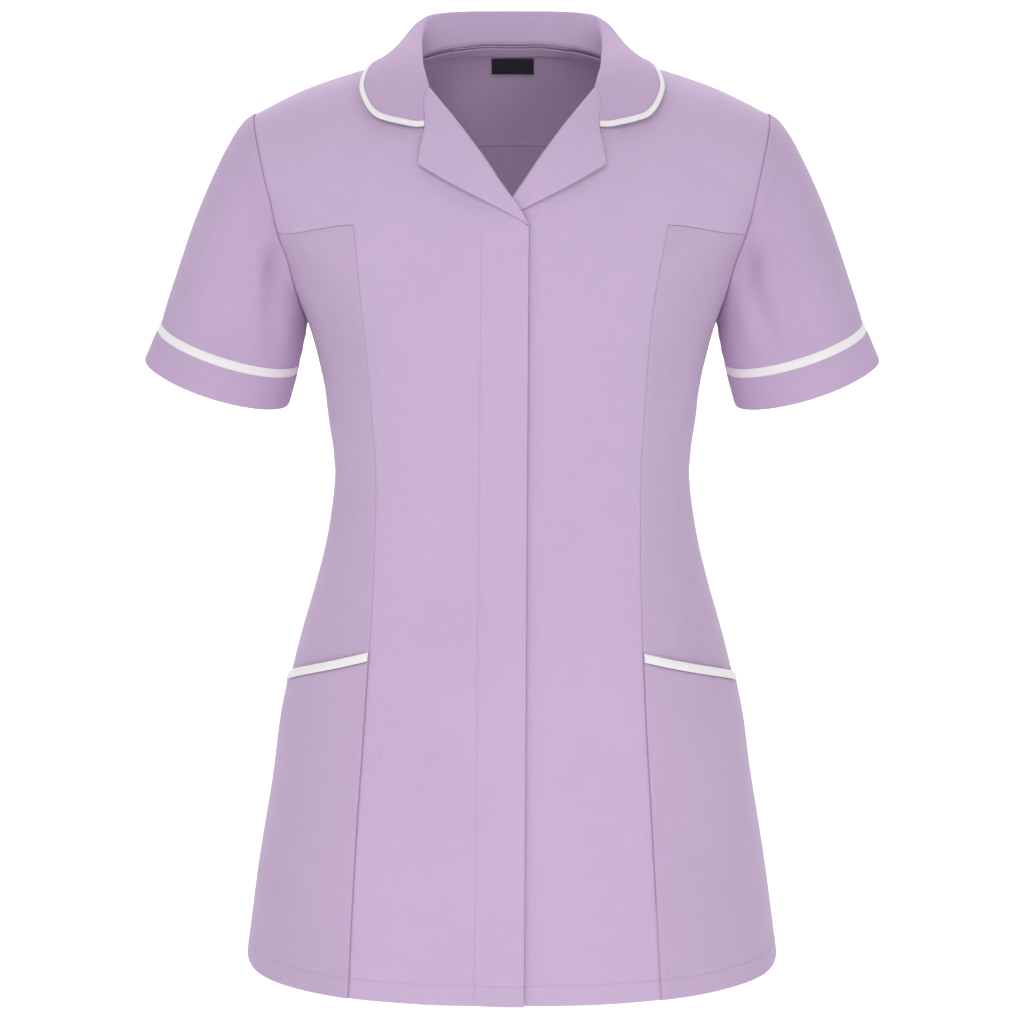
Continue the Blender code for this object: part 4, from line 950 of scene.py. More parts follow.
pocket = {
    "innerUp": 0.2619,         # the top of its mouth at the princess seam
    "outerUp": 0.2244,         # and at the side seam
    "bandWidth": 0.0070,
    "bow": 0.0022,             # it stands open a little
    "rest": 0.0016,
    "bandProud": 0.0004,
    "bandCrown": 0.0003,
    "bandThick": 0.0012,
    "bandCell": 0.002,
    "thick": 0.0009,
    "dip": 0.0008,
    "mouthRun": 0.025,         # the rows just under its mouth
    "mouthCell": 0.004,
}


def pocketPieces(side, word, look, white):
    shares = np.array(sidePlaces)
    half = side * math.pi / 2

    def place(ups):
        seam = chart(side * frontPrincess[side](ups)[..., 0], ups)
        return np.stack([mixed(seam[..., 0], half, shares), np.broadcast_to(ups, shares.shape)], -1)

    mouthUps = mixed(pocket["innerUp"], pocket["outerUp"], shares)
    bow = pocket["bow"] * np.sin(math.pi * shares)
    lowEnd = pocket["outerUp"] - 2 * pocket["bandWidth"]
    ups = spread(0.0, hemDepth, cloth["cell"]) + spread(hemDepth, lowEnd, cloth["cell"], True, False)[1:]
    rows = [place(np.full_like(shares, up)) for up in ups]
    lift = [np.full_like(shares, pocket["rest"]) for up in ups]
    for p in spreadShares(pocket["mouthRun"], pocket["mouthCell"], nearStart=False)[1:]:
        rows.append(place(mixed(np.full_like(shares, lowEnd), mouthUps - pocket["bandWidth"], p)))
        lift.append(pocket["rest"] + bow * p ** 2)
    charts = np.array(rows)
    flat = pointsAt(charts)
    lift = np.array(lift) + creaseRelief(flat) + groove(upOf(flat) - hemDepth)
    points, normals = lifted(charts, lift)
    makeSheet(f"pocket{word}", f"pocket_{word.lower()}", points, normals, look, grain=0.4,
              held="laid", restsOn=[f"sideFront{word}"], thick=pocket["thick"], dip=pocket["dip"])
    drops = spread(0.0, pocket["bandWidth"], pocket["bandCell"])[::-1]
    charts = np.array([place(mouthUps - drop) for drop in drops])
    crown = pocket["bandCrown"] * np.sin(math.pi * np.array(drops) / pocket["bandWidth"])[:, None]
    lift = pocket["rest"] + pocket["bandProud"] + bow + crown + creaseRelief(pointsAt(charts))
    band, bandNormals = lifted(charts, lift)
    makeSheet(f"pocketBand{word}", f"pocket_band_{word.lower()}", band, bandNormals, white,
              held="laid", restsOn=[f"pocket{word}"], thick=pocket["bandThick"])
    return points, normals


# collar and lapels

collar = {
    "foldLine": [
        # share, out,    y,       up
        (0.00, 0.0625, -0.0700, 0.6855),
        (0.09, 0.0652, -0.0578, 0.6938),
        (0.18, 0.0678, -0.0425, 0.7010),
        (0.27, 0.0690, -0.0250, 0.7072),
        (0.36, 0.0697, -0.0070, 0.7120),
        (0.46, 0.0698, 0.0120, 0.7175),
        (0.57, 0.0690, 0.0320, 0.7228),
        (0.69, 0.0668, 0.0515, 0.7288),
        (0.81, 0.0570, 0.0695, 0.7308),
        (0.91, 0.0330, 0.0815, 0.7314),
        (1.00, 0.0000, 0.0850, 0.7314),
    ],
    "leafEdge": [
        # share, out,    lean,   lift
        (0.000, 0.0638, -0.832, 0.0022),
        (0.050, 0.0775, -0.812, 0.0023),
        (0.100, 0.0911, -0.791, 0.0025),
        (0.140, 0.1003, -0.765, 0.0026),
        (0.175, 0.1062, -0.717, 0.0027),
        (0.210, 0.1100, -0.650, 0.0028),
        (0.250, 0.1121, -0.574, 0.0028),
        (0.310, 0.1115, -0.460, 0.0028),
        (0.370, 0.1085, -0.300, 0.0027),
        (0.430, 0.1048, -0.142, 0.0026),
        (0.500, 0.1030, 0.020, 0.0026),
        (0.600, 0.1010, 0.220, 0.0028),
        (0.720, 0.0930, 0.430, 0.0030),
        (0.840, 0.0690, 0.640, 0.0030),
        (0.920, 0.0390, 0.772, 0.0030),
        (0.965, 0.0170, 0.812, 0.0030),
        (1.000, 0.0000, 0.818, 0.0030),
    ],
    "ridgeShare": 0.40,
    "steps": 84,
    "foot": 0.0009,
    "foldIn": 0.0035,
    "foldOut": 0.0160,
    "edgeWidth": 0.0045,
    "edgeMarks": [0.0, 0.1, 0.23, 0.4, 0.6, 0.77, 0.9, 1.0],
    "leafMarks": [0.0022, 0.0010, 0.0004, 0.0],  # the leaf's last rows, before its edge
    "leafLead": 0.0042,
    "thick": 0.0013,
    "edgeThick": 0.0019,
    "leafDip": 0.00025,
    "edgeDip": 0.0002,
    "probe": 0.01,             # the step that gives the fold's direction
    "crowding": 1.15,          # sections lie closer together towards its front ends
    "standOff": 0.0028,        # its edge stands this much further off the fronts
    "standOffStart": (0.01, 0.08),
    "standOffEnd": (0.37, 0.62),
    "levelled": 0.75,          # how much of its slope the fold's outward way loses
    "levelFrom": 0.4,          # less of that at its front ends
    "levelShare": 0.12,
    "pull": (0.4, 0.4, 0.35),  # of its section's curves: the foot's, the fold's, the edge's
}
lapel = {
    "edge": [
        # share, out,    up
        (0.000, 0.0636, 0.6587),
        (0.280, 0.0687, 0.6312),
        (0.520, 0.0451, 0.6190),
        (0.800, 0.0108, 0.6022),
        (0.930, -0.0068, 0.5932),
        (1.000, -0.0112, 0.5893),
    ],
    "turn": [                  # its section inside the roll
        # step, reach, lift
        (0, 0.0075, -0.0030),
        (1, 0.0040, -0.0030),
        (2, 0.0018, -0.0027),
        (3, 0.0005, -0.0016),
        (4, 0.0000, 0.0000),
        (5, 0.0004, 0.0014),
    ],
    "lift": [                  # and outside it, from the roll to the edge
        (0.00, 0.0024), (0.20, 0.0031), (0.60, 0.0024), (1.00, 0.0019),
    ],
    "rollReach": 0.0014,
    "standOff": 0.0026,        # their outer edges stand this much further off the fronts
    "turnEnd": (0.40, 0.55),   # where the turn inside the right one's roll fades out
    "rollEnd": (0.55, 0.73),   # and where both lie flat on their fronts
    "tip": 0.280,
    "end": {"Right": 0.985, "Left": 0.880},
    "thick": 0.0012,
    "dip": 0.0003,
    "flat": 0.00115,
    "flatReach": (0.0006, 0.0002),  # where it lies flat: the longest, and by each step
    "rollLimit": 0.3,          # of its width, for the roll where it is narrow
    "standOffStart": (0.0, 0.18),
    "standOffEnd": (0.62, 0.97),
    "run": 0.10,               # about its length
    "upperCell": 0.0028,
    "lowerCell": 0.0030,
}
foldAt = smoothCurve(collar["foldLine"])
leafAt = smoothCurve(collar["leafEdge"])
lapelLift = smoothCurve(lapel["lift"])
turnAt = smoothCurve(lapel["turn"])
centre = collar["steps"]       # the row of sections at the centre back
standShares = [0.0, 0.12, 0.25, 0.38, 0.5, 0.61, 0.71, 0.8, 0.88, 0.95]
leafShares = [0.0, 0.02, 0.045, 0.075, 0.11, 0.155, 0.21, 0.28, 0.36, 0.45, 0.54, 0.63, 0.72,
              0.80, 0.87, 0.92, 0.955, 0.98, 1.0]
turnSteps = [5 * i / 14 for i in range(15)]


def neckSeam(share):
    if share <= collar["ridgeShare"]:
        return neckChart(1, share / collar["ridgeShare"])
    return neckBackChart((share - collar["ridgeShare"]) / (1 - collar["ridgeShare"]))


def bezier(a, b, c, d, t):
    return a * (1 - t) ** 3 + 3 * b * t * (1 - t) ** 2 + 3 * c * t * t * (1 - t) + d * t ** 3


def foldTop(share):
    return foldAt(share) - np.array([0.0, 0.0, body["shoulderUp"]])


def collarSection(share):  # from the stand's foot over the fold to the leaf's edge
    edgeOut, edgeLean, lift = leafAt(share)
    place = leanChart(max(edgeOut, 0.0), edgeLean)
    edgeNormal = bodyNormal(*place)
    standOff = (1 - fading(share, collar["standOffStart"])) * fading(share, collar["standOffEnd"])
    edge = bodyPoint(*place) + edgeNormal * (lift + collar["standOff"] * standOff)
    seam = neckSeam(share)
    foot = bodyPoint(*seam) - bodyNormal(*seam) * collar["foot"]
    fold = foldTop(share)
    probe = collar["probe"]
    run = unit(foldTop(min(share + probe, 1.0)) - foldTop(max(share - probe, 0.0)))
    if share > 1 - probe / 2:
        run = np.array([-1.0, 0.0, 0.0])
    out = edge - fold
    out = unit(out - run * np.dot(out, run))
    levelOut = unit(out - np.array([0.0, 0.0, out[2] * collar["levelled"]]))
    amount = mixed(collar["levelFrom"], 1.0, float(eased(share / collar["levelShare"])))
    out = mixed(unit(edge - fold), levelOut, amount)
    rear = fold - edge
    size = np.linalg.norm(rear)
    rear = unit(rear - edgeNormal * np.dot(rear, edgeNormal))
    rise = fold - foot
    footPull, foldPull, edgePull = collar["pull"]
    inner = fold - levelOut * min(collar["foldIn"], 0.5 * np.linalg.norm(rise))
    outer = fold + out * min(collar["foldOut"], foldPull * size)
    points = [bezier(foot, foot + rise * footPull, inner, fold, t) for t in standShares]
    points += [bezier(fold, outer, edge + rear * size * edgePull, edge, t) for t in leafShares]
    return points


def lapelPlace(side, share, reach, along):
    up = mixed(seams["roll"][-1][0], seams["breakUp"], share)
    roll = np.array([rollOut(up)[0], up])
    table = np.array(lapel["edge"])
    edge = np.array([np.interp(share, table[:, 0], table[:, k]) for k in (1, 2)])
    width = np.linalg.norm(edge - roll)
    near = min(reach, lapel["rollLimit"] * width) / width
    place = mixed(roll, edge, mixed(near, 1.0, along))
    return chart(side * place[0], place[1]), place[0]


def lapelSection(side, share):
    turn, free = fading(share, lapel["turnEnd"]), fading(share, lapel["rollEnd"])
    standOff = (1 - fading(share, lapel["standOffStart"])) * fading(share, lapel["standOffEnd"])
    shortReach, stepReach = lapel["flatReach"]
    steps = []
    for step in turnSteps:
        reach, lift = turnAt(step)
        if side < 0:
            reach = mixed(min(reach, shortReach), reach, turn)
            reach = mixed(stepReach * step, reach, free)
            lift = mixed(lapel["flat"], lift, free)
        else:
            lift = min(lift, mixed(lapel["flat"], lift, free))
        steps.append((reach, 0.0, lift))
    for along in leafShares:
        steps.append((lapel["rollReach"], along, mixed(lapel["flat"], float(lapelLift(along)[0]), free)))
    points = []
    for reach, along, lift in steps:
        place, out = lapelPlace(side, share, reach, along)
        lift += float(frontRise(side, side * out))
        lift += lapel["standOff"] * float(eased(along)) * standOff
        points.append(bodyPoint(*place) + bodyNormal(*place) * lift)
    return points


def lapelPieces(middle, look):
    first, turned = len(standShares), len(turnSteps)
    run, tip = lapel["run"], lapel["tip"] * lapel["run"]
    for word, side, end in (("Left", 1, 0), ("Right", -1, -1)):
        places = spread(0.0, tip, lapel["upperCell"], nearEnd=False)
        places += spread(tip, lapel["end"][word] * run, lapel["lowerCell"], nearStart=False)[1:]
        shares = [place / run for place in places]
        grid = np.array([lapelSection(side, share) for share in shares])
        move = middle[end, first:] - grid[0, turned:]
        for i, share in enumerate(shares):
            if share < lapel["tip"]:
                fade = (1 - share / lapel["tip"]) ** 2
                grid[i, turned:] += move * fade
                grid[i, :turned] += move[0] * fade
        facing = gridNormals(grid)
        facing = facing * -np.sign(facing[len(grid) // 4, -1, 1])
        makeSheet(f"lapel{word}", f"lapel_{word.lower()}", grid, facing, look, grain=0.5,
                  thick=lapel["thick"], centred=True, dip=lapel["dip"], held="folded",
                  restsOn=[f"front{word}"])


def collarPieces(look, lapelLook, white):
    half = [collarSection((i / centre) ** collar["crowding"]) for i in range(centre + 1)]
    half = np.array(half)
    half[-1, :, 0] = 0.0
    middle = np.concatenate([half, half[-2::-1] * np.array([-1.0, 1.0, 1.0])])
    lapelPieces(middle, lapelLook)
    kept = len(standShares) + len(leafShares) - 4
    leaf, strip = [], []
    for points, run in zip(middle, runLengths(middle, 1)):
        cut = run[-1] - collar["edgeWidth"]
        lead = run[:kept] / run[kept - 1] * (cut - collar["leafLead"])
        leaf.append(readAlong(points, run, np.concatenate([lead, cut - np.array(collar["leafMarks"])])))
        strip.append(readAlong(points, run, cut + collar["edgeWidth"] * np.array(collar["edgeMarks"])))
    leaf, strip = np.array(leaf), np.array(strip)
    leafNormals = gridNormals(leaf)
    outward = np.sign(leafNormals[centre, -1, 2])
    leafNormals = leafNormals * outward
    makeSheet("collarLeaf", "collar", leaf, leafNormals, look, grain=0.5, thick=collar["thick"],
              centred=True, dip=collar["leafDip"], held="folded",
              restsOn=["backYoke", "frontRight", "frontLeft"])
    makeSheet("collarEdge", "collar_edge", strip, gridNormals(strip) * outward, white,
              thick=collar["edgeThick"], centred=True, dip=collar["edgeDip"], held="folded",
              restsOn=["collarLeaf"])
    return leaf, leafNormals


# inside the back neck

neckTrim = {
    "tapeDrops": (0.0020, 0.0090),
    "tapeFrom": 0.25,
    "tapeRest": 0.0021,        # below the yoke's outside
    "tapeThick": 0.0009,
    "labelLeft": -0.0162,
    "labelRight": 0.0172,
    "labelTop": 0.6972,
    "labelBottom": 0.6845,
    "labelRest": 0.0023,
    "labelThick": 0.0008,
    "tapeSteps": 34,
    "tapeCell": 0.0016,
    "labelCells": (0.0018, 0.0030),
    "tapeDip": 0.0002,
    "labelDip": 0.0001,
}


def neckPieces(look, labelLook):
    shares = mixed(neckTrim["tapeFrom"], 1.0, np.linspace(0, 1, neckTrim["tapeSteps"]))
    drops = spread(*neckTrim["tapeDrops"], neckTrim["tapeCell"])[::-1]
    half = np.array([[neckBackChart(share, drop) for share in shares] for drop in drops])
    points, normals = lifted(wholeWidth(half), -neckTrim["tapeRest"])
    makeSheet("neckTape", "neck_tape", points, -normals, look, thick=-neckTrim["tapeThick"],
              held="laid", restsOn=["backYoke"], dip=neckTrim["tapeDip"])
    upCell, outCell = neckTrim["labelCells"]
    outs = np.array(spread(neckTrim["labelLeft"], neckTrim["labelRight"], outCell))[::-1]
    rows = []
    for up in spread(neckTrim["labelBottom"], neckTrim["labelTop"], upCell):
        places = chart(np.abs(outs), up, True)
        places[:, 0] = np.where(outs >= 0, places[:, 0], 2 * math.pi - places[:, 0])
        rows.append(places)
    label, labelNormals = lifted(np.array(rows), -neckTrim["labelRest"])
    makeSheet("sizeLabel", "label", label, -labelNormals, labelLook, thick=-neckTrim["labelThick"],
              held="laid", restsOn=["backYoke"], dip=neckTrim["labelDip"])
    return points, -normals


# finishes: groups that several cloths use

def setInputs(tree, node, values):  # each input gets a number, a colour or a link
    for name, value in values.items():
        if isinstance(value, bpy.types.NodeSocket):
            tree.links.new(value, node.inputs[name])
        else:
            node.inputs[name].default_value = value


def newNode(tree, kind, inputs, **settings):  # inputs by their socket's name or number
    node = tree.nodes.new("ShaderNode" + kind)
    for name, value in settings.items():
        setattr(node, name, value)
    setInputs(tree, node, inputs)
    return node


def mathNode(tree, operation, a, b=None):
    inputs = {0: a} if b is None else {0: a, 1: b}
    return newNode(tree, "Math", inputs, operation=operation).outputs[0]


def rescaled(tree, value, low, high, toLow, toHigh):
    limits = {"Value": value, "From Min": low, "From Max": high, "To Min": toLow, "To Max": toHigh}
    return newNode(tree, "MapRange", limits).outputs["Result"]


def newGroup(name, setting, value, outputs):
    group = bpy.data.node_groups.new(name, "ShaderNodeTree")
    socket = group.interface.new_socket(name=setting, in_out="INPUT", socket_type="NodeSocketFloat")
    socket.default_value = value
    for output in outputs:
        group.interface.new_socket(name=output, in_out="OUTPUT", socket_type="NodeSocketFloat")
    start = group.nodes.new("NodeGroupInput")
    return group, start.outputs[setting], group.nodes.new("NodeGroupOutput")


weaveFacts = {
    "pitch": 0.00045,
    "slubs": ((1250.0, 34.0, 1.0), (34.0, 1100.0, 1.0)),  # stretched along warp and weft
    "slubDetail": 2.0,
}
toneFacts = {"scale": 9.0, "detail": 3.0, "roughness": 0.55, "fuzzScale": 900.0, "fuzzDetail": 2.0}


def weaveGroup():  # plain weave on the piece's own grain, in metres
    group, pitch, end = newGroup("plainWeave", "Pitch", weaveFacts["pitch"], ["Height", "Slub"])
    uv = newNode(group, "UVMap", {}, uv_map="grain").outputs[0]
    parts = newNode(group, "SeparateXYZ", {0: uv}).outputs
    waves, slubs = [], []
    for axis in (0, 1):
        turns = mathNode(group, "DIVIDE", parts[axis], pitch)
        waves.append(mathNode(group, "SINE", mathNode(group, "MULTIPLY", turns, math.pi)))
    over = mathNode(group, "GREATER_THAN", mathNode(group, "MULTIPLY", *waves), 0.0)
    under = mathNode(group, "SUBTRACT", 1.0, over)
    warp, weft = (mathNode(group, "ABSOLUTE", wave) for wave in waves)
    height = mathNode(group, "ADD", mathNode(group, "MULTIPLY", warp, over),
                      mathNode(group, "MULTIPLY", weft, under))
    for stretch in weaveFacts["slubs"]:
        place = newNode(group, "Mapping", {0: uv, "Scale": stretch}).outputs[0]
        noise = {"Vector": place, "Scale": 1.0, "Detail": weaveFacts["slubDetail"]}
        slubs.append(newNode(group, "TexNoise", noise, noise_dimensions="2D").outputs[0])
    slub = mathNode(group, "MULTIPLY", mathNode(group, "ADD", *slubs), 0.5)
    setInputs(group, end, {"Height": height, "Slub": slub})
    return group


def toneGroup():  # slow changes of shade over the cloth, in the piece's own space
    group, scale, end = newGroup("softTone", "Scale", toneFacts["scale"], ["Tone", "Fuzz"])
    place = newNode(group, "TexCoord", {}).outputs["Object"]
    broad = newNode(group, "TexNoise", {"Vector": place, "Scale": scale, "Detail": toneFacts["detail"],
                                        "Roughness": toneFacts["roughness"]})
    fine = newNode(group, "TexNoise", {"Vector": place, "Scale": toneFacts["fuzzScale"],
                                       "Detail": toneFacts["fuzzDetail"]})
    setInputs(group, end, {"Tone": broad.outputs[0], "Fuzz": fine.outputs[0]})
    return group


weave = weaveGroup()
softTone = toneGroup()


def addGroup(tree, group, name, value):
    return newNode(tree, "Group", {name: value}, node_tree=group).outputs


def shades(tree, factor, colour, dark, light):  # between a darker and a lighter shade
    ends = [(*(part * share for part in colour), 1.0) for share in (dark, light)]
    return newNode(tree, "Mix", {0: factor, 6: ends[0], 7: ends[1]}, data_type="RGBA").outputs[2]


def newLook(name):
    look = bpy.data.materials.new(name)
    look.use_nodes = True
    return look, look.node_tree, look.node_tree.nodes["Principled BSDF"]


def bumpNormal(tree, height, strength, distance):
    relief = newNode(tree, "Bump", {"Height": height, "Strength": strength, "Distance": distance})
    return relief.outputs["Normal"]


clothFacts = {
    "toneLimits": (0.32, 0.68),
    "gapShade": 0.86,          # between the threads
    "gapTop": 0.8,
    "slubLimits": (0.3, 0.7),
    "slubShades": (0.05, 0.03),  # darker and lighter by these
    "roughness": 0.86,
    "roughSpan": 0.05,
    "slubHeight": 1.6,         # against the weave's own
    "fuzzHeight": 0.4,
    "strength": 0.22,          # of its bumps
    "bumpDistance": 0.00012,
    "shader": {"Sheen Weight": 0.10, "Sheen Roughness": 0.45, "Specular IOR Level": 0.25},
}
threadFacts = {
    "colour": (0.520, 0.385, 0.580),
    "scale": 160.0,
    "toneLimits": (0.3, 0.7),
    "shades": (0.88, 1.05),
    "roughness": 0.55,
    "bump": (0.3, 0.0001),
}


def clothLook(name, slot, colour, shadeRange, pitch=weaveFacts["pitch"],
              strength=clothFacts["strength"], roughness=clothFacts["roughness"]):
    look, tree, shader = newLook(name)
    look["slot"] = slot
    woven = addGroup(tree, weave, "Pitch", pitch)
    tone = addGroup(tree, softTone, "Scale", toneFacts["scale"])
    amount = rescaled(tree, tone["Tone"], *clothFacts["toneLimits"], 0.0, 1.0)
    gaps = rescaled(tree, woven["Height"], 0.0, clothFacts["gapTop"], clothFacts["gapShade"], 1.0)
    darker, lighter = clothFacts["slubShades"]
    threads = rescaled(tree, woven["Slub"], *clothFacts["slubLimits"], 1.0 - darker, 1.0 + lighter)
    tint = newNode(tree, "VectorMath", {0: shades(tree, amount, colour, *shadeRange),
                                        "Scale": mathNode(tree, "MULTIPLY", gaps, threads)},
                   operation="SCALE")
    span = clothFacts["roughSpan"]
    rough = rescaled(tree, tone["Fuzz"], *clothFacts["slubLimits"], roughness - span, roughness + span)
    height = mathNode(tree, "ADD", woven["Height"],
                      mathNode(tree, "MULTIPLY", woven["Slub"], clothFacts["slubHeight"]))
    height = mathNode(tree, "ADD", height,
                      mathNode(tree, "MULTIPLY", tone["Fuzz"], clothFacts["fuzzHeight"]))
    setInputs(tree, shader, {"Base Color": tint.outputs[0], "Roughness": rough,
                             "Normal": bumpNormal(tree, height, strength, clothFacts["bumpDistance"])})
    setInputs(tree, shader, clothFacts["shader"])
    return look


def threadLook(name, slot, colour):
    look, tree, shader = newLook(name)
    look["slot"] = slot
    tone = addGroup(tree, softTone, "Scale", threadFacts["scale"])
    amount = rescaled(tree, tone["Tone"], *threadFacts["toneLimits"], 0.0, 1.0)
    setInputs(tree, shader, {"Base Color": shades(tree, amount, colour, *threadFacts["shades"]),
                             "Roughness": threadFacts["roughness"],
                             "Normal": bumpNormal(tree, tone["Fuzz"], *threadFacts["bump"])})
    return look


finishes = {
    "lilacCloth": {"slot": "cloth", "colour": (0.590, 0.440, 0.645), "shadeRange": (0.975, 1.02)},
    # the same lilac as the main cloth, made darker: painted shade on the side panels and pockets, which turn
    # away from the light
    "lilacSidePaintedShadeCloth": {"slot": "cloth", "colour": (0.556, 0.411, 0.604), "shadeRange": (0.97, 1.02)},
    # the same lilac again, made darker: painted shade on the sleeves, cuffs and collar leaf
    "lilacSleevePaintedShadeCloth": {"slot": "cloth", "colour": (0.556, 0.408, 0.610), "shadeRange": (0.97, 1.02)},
    "whiteTrimCloth": {"slot": "trim", "colour": (0.900, 0.872, 0.880), "shadeRange": (0.98, 1.01),
                       "pitch": 0.0004},
    "tapeCloth": {"slot": "tape", "colour": (0.590, 0.440, 0.645), "shadeRange": (0.96, 1.02),
                  "pitch": 0.0004},
    "labelCloth": {"slot": "label", "colour": (0.020, 0.021, 0.023), "shadeRange": (0.9, 1.15),
                   "pitch": 0.0005, "strength": 0.5, "roughness": 0.6},
}
lilac, lilacSidePaintedShade, lilacSleevePaintedShade, whiteCloth, tapeCloth, labelCloth = (
    clothLook(name, **facts) for name, facts in finishes.items())
thread = threadLook("lilacThread", "cloth", threadFacts["colour"])
print("finishes made")

sides = {"Right": -1, "Left": 1}
# the side pieces and pockets take the darker lilac, which is painted shade
fronts = {word: frontPieces(side, word, lilac, lilacSidePaintedShade) for word, side in sides.items()}
backCloth = backPieces(lilac, lilacSidePaintedShade)
yokePiece(lilac)
print("body panels made")
for word, side in sides.items():
    sleevePieces(side, word, lilacSleevePaintedShade, whiteCloth)
pockets = {word: pocketPieces(side, word, lilacSidePaintedShade, whiteCloth) for word, side in sides.items()}
print("sleeves and pockets made")
# the collar leaf takes the sleeves' darker lilac, which is painted shade
collarCloth = collarPieces(lilacSleevePaintedShade, lilac, whiteCloth)
tape = neckPieces(tapeCloth, labelCloth)
print("collar, lapels and neck trim made")


# rows of stitches, laid on the finished cloth

stitch = {
    "pitch": 0.0030,
    "start": 0.12,             # of the pitch, before the first one
    "length": 0.0022,
    "width": 0.00042,
    "height": 0.00034,
    "lay": 0.00010,            # the thread stands this far over the groove it lies in
    "inset": 0.0012,           # from the edge of a pocket or the tape
    "collarInset": 0.0013,
    "collarShares": (0.01, 0.99),  # of the collar's length, where its row starts and ends
}


def stitchRow(name, line, lay=stitch["lay"], look=thread):
    points, normals = line
    points = points + normals * lay
    run = runLengths(points, 0)
    size = Matrix.Diagonal((stitch["length"] / 2, stitch["width"] / 2, stitch["height"] / 2, 1))
    mesh = bmesh.new()
    for k in range(int(run[-1] / stitch["pitch"])):
        start = (k + stitch["start"]) * stitch["pitch"]
        a, b = readAlong(points, run, [start, start + stitch["length"]])
        up = unit(readAlong(normals, run, start + stitch["length"] / 2))
        along = unit(b - a)
        across = unit(np.cross(up, along))
        turn = Matrix((along, across, np.cross(along, across))).transposed().to_4x4()
        place = Matrix.Translation(Vector((a + b) / 2))
        bmesh.ops.create_icosphere(mesh, subdivisions=1, radius=1.0, matrix=place @ turn @ size)
    piece = makeObject(name, mesh, look)
    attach(piece, "root")


def levelLine(points, normals, up, columns=None):  # where the cloth is at this height
    height = upOf(points)
    line, facing = [], []
    for j in range(points.shape[1])[:columns]:
        row = int(np.argmax(height[:, j] >= up))
        t = (up - height[row - 1, j]) / (height[row, j] - height[row - 1, j])
        line.append(mixed(points[row - 1, j], points[row, j], t))
        facing.append(mixed(normals[row - 1, j], normals[row, j], t))
    return np.array(line), np.array(facing)


def insetLine(points, normals, distance, low=0.0, high=1.0):  # this far from the first column
    last = len(points) - 1
    line, facing = [], []
    for i in range(round(low * last), round(high * last) + 1):
        run = runLengths(points[i], 0)
        line.append(readAlong(points[i], run, distance))
        facing.append(readAlong(normals[i], run, distance))
    return np.array(line), np.array(facing)


def acrossGrid(cloth, end):  # the grid with its first or last row as its first column
    return [grid[::end].transpose(1, 0, 2) for grid in cloth]


for word, cloths in fronts.items():
    stitchRow(f"hemStitches{word}", levelLine(*cloths, hemDepth, princessColumn + 1))
stitchRow("flyStitches", [grid[:crossRow + 1, flyColumn] for grid in fronts["Right"]])
stitchRow("hemStitchesBack", levelLine(*backCloth, hemDepth))
for word, cloths in pockets.items():
    stitchRow(f"hemStitchesPocket{word}", levelLine(*cloths, hemDepth))
    stitchRow(f"pocketStitches{word}", insetLine(*acrossGrid(cloths, -1), stitch["inset"]))
stitchRow("tapeStitchesUpper", insetLine(*acrossGrid(tape, -1), stitch["inset"]))
stitchRow("tapeStitchesLower", insetLine(*acrossGrid(tape, 1), stitch["inset"]))
leaf = [grid[:, ::-1] for grid in collarCloth]
stitchRow("collarStitches", insetLine(*leaf, stitch["collarInset"], *stitch["collarShares"]),
          collar["thick"] / 2 + stitch["lay"])
print("stitches laid")


# floor, light and camera

stage = {
    "floorUp": -1.33,
    "floorColour": (0.93, 0.93, 0.935),
    "floorRoughness": 0.9,
    "floorRows": 60,
    "start": -7.0,             # the floor runs from here
    "length": 20.0,            # along the floor and up the wall
    "flatRun": 15.0,
    "radius": 2.0,
    "halfWidth": 9.0,
    "worldStrength": 0.68,
    "lights": [
        # name, place, target, size, power, spread in degrees
        ("keyLight", (-0.9, -4.6, 3.2), (0.0, 0.0, -0.3), (1.5, 1.5), 61, 180),
        ("fillLight", (0.7, -3.9, -0.5), (0.0, 0.0, -0.62), (1.2, 0.8), 1.5, 40),
        ("floorLight", (0.0, 5.5, 3.2), (0.0, 5.5, -1.3), (8.0, 6.0), 420, 180),
    ],
    "eye": (0.0, -3.2, 0.25),
    "eyeTilt": 90 - 10.585,
    "lens": 147.87,
    "sensor": 36.0,
}


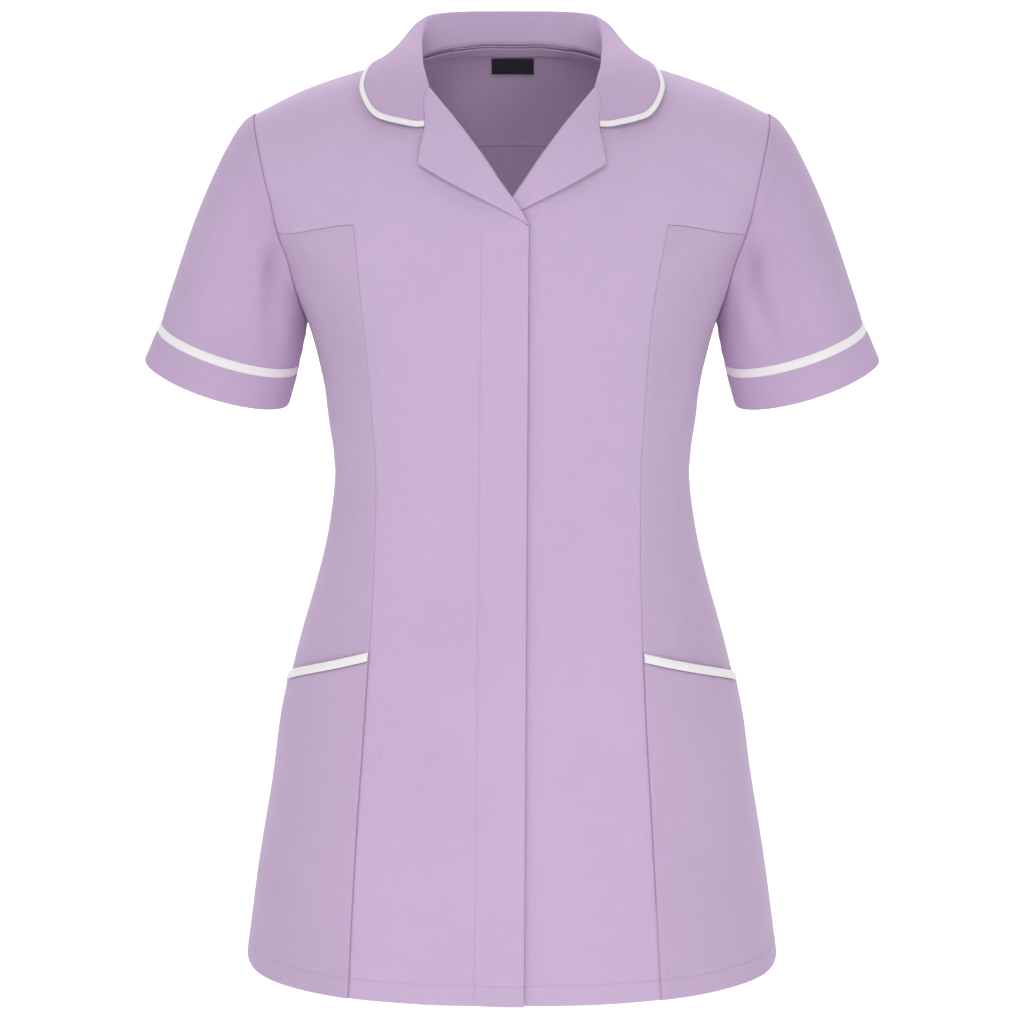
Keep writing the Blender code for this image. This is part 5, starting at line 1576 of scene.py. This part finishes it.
def backdrop():  # a floor that curves up into a wall behind
    flatRun, radius = stage["flatRun"], stage["radius"]
    bend = radius * math.pi / 2
    mesh = bmesh.new()
    bmesh.ops.create_grid(mesh, x_segments=2, y_segments=stage["floorRows"], size=1)
    for point in mesh.verts:
        run = (point.co.y + 1) / 2 * stage["length"]
        if run < flatRun:
            y, z = run, 0.0
        elif run < flatRun + bend:
            turn = (run - flatRun) / radius
            y, z = flatRun + radius * math.sin(turn), radius * (1 - math.cos(turn))
        else:
            y, z = flatRun + radius, radius + run - flatRun - bend
        point.co = Vector((point.co.x * stage["halfWidth"], y + stage["start"], z + stage["floorUp"]))
    look, tree, shader = newLook("paleFloor")
    setInputs(tree, shader, {"Base Color": (*stage["floorColour"], 1.0),
                             "Roughness": stage["floorRoughness"]})
    floor = makeObject("backdrop", mesh, look)


def softLight(name, place, target, size, power, spreadAngle):
    lamp = bpy.data.lights.new(name, "AREA")
    lamp.shape = "RECTANGLE"
    lamp.size, lamp.size_y = size
    lamp.energy = power
    lamp.spread = math.radians(spreadAngle)
    holder = bpy.data.objects.new(name, lamp)
    holder.location = place
    aim = Vector(target) - Vector(place)
    holder.rotation_euler = aim.to_track_quat("-Z", "Y").to_euler()
    bpy.context.scene.collection.objects.link(holder)


backdrop()
for facts in stage["lights"]:
    softLight(*facts)
scene = bpy.context.scene
scene.world = bpy.data.worlds.new("studio")
scene.world.use_nodes = True
sky = scene.world.node_tree.nodes["Background"].inputs
sky["Color"].default_value = (1.0, 1.0, 1.0, 1.0)
sky["Strength"].default_value = stage["worldStrength"]
scene.view_settings.view_transform = "Standard"
lens = bpy.data.cameras.new("photoCamera")
lens.sensor_width = stage["sensor"]
lens.lens = stage["lens"]
eye = bpy.data.objects.new("photoCamera", lens)
eye.location = stage["eye"]
eye.rotation_euler = (math.radians(stage["eyeTilt"]), 0.0, 0.0)
scene.collection.objects.link(eye)
scene.camera = eye
print("stage set")


# what each sheet was cut to, with the narrow pieces sewn on it

sewnOn = {
    "frontRight": ["hemStitchesRight", "flyStitches"],
    "frontLeft": ["hemStitchesLeft"],
    "backCentre": ["hemStitchesBack"],
    "backYoke": ["neckTape", "tapeStitchesUpper", "tapeStitchesLower"],
    "sleeveRight": ["sleeveBandRight"],
    "sleeveLeft": ["sleeveBandLeft"],
    "pocketRight": ["pocketBandRight", "pocketStitchesRight", "hemStitchesPocketRight"],
    "pocketLeft": ["pocketBandLeft", "pocketStitchesLeft", "hemStitchesPocketLeft"],
    "collarLeaf": ["collarEdge", "collarStitches"],
}
narrow = [name for names in sewnOn.values() for name in names]
for name, facts in sheets.items():
    if name not in narrow:
        width, length = facts["flat"]
        print(f"{name}: {width:.3f} x {length:.3f} m, {facts['area']:.4f} square metres")
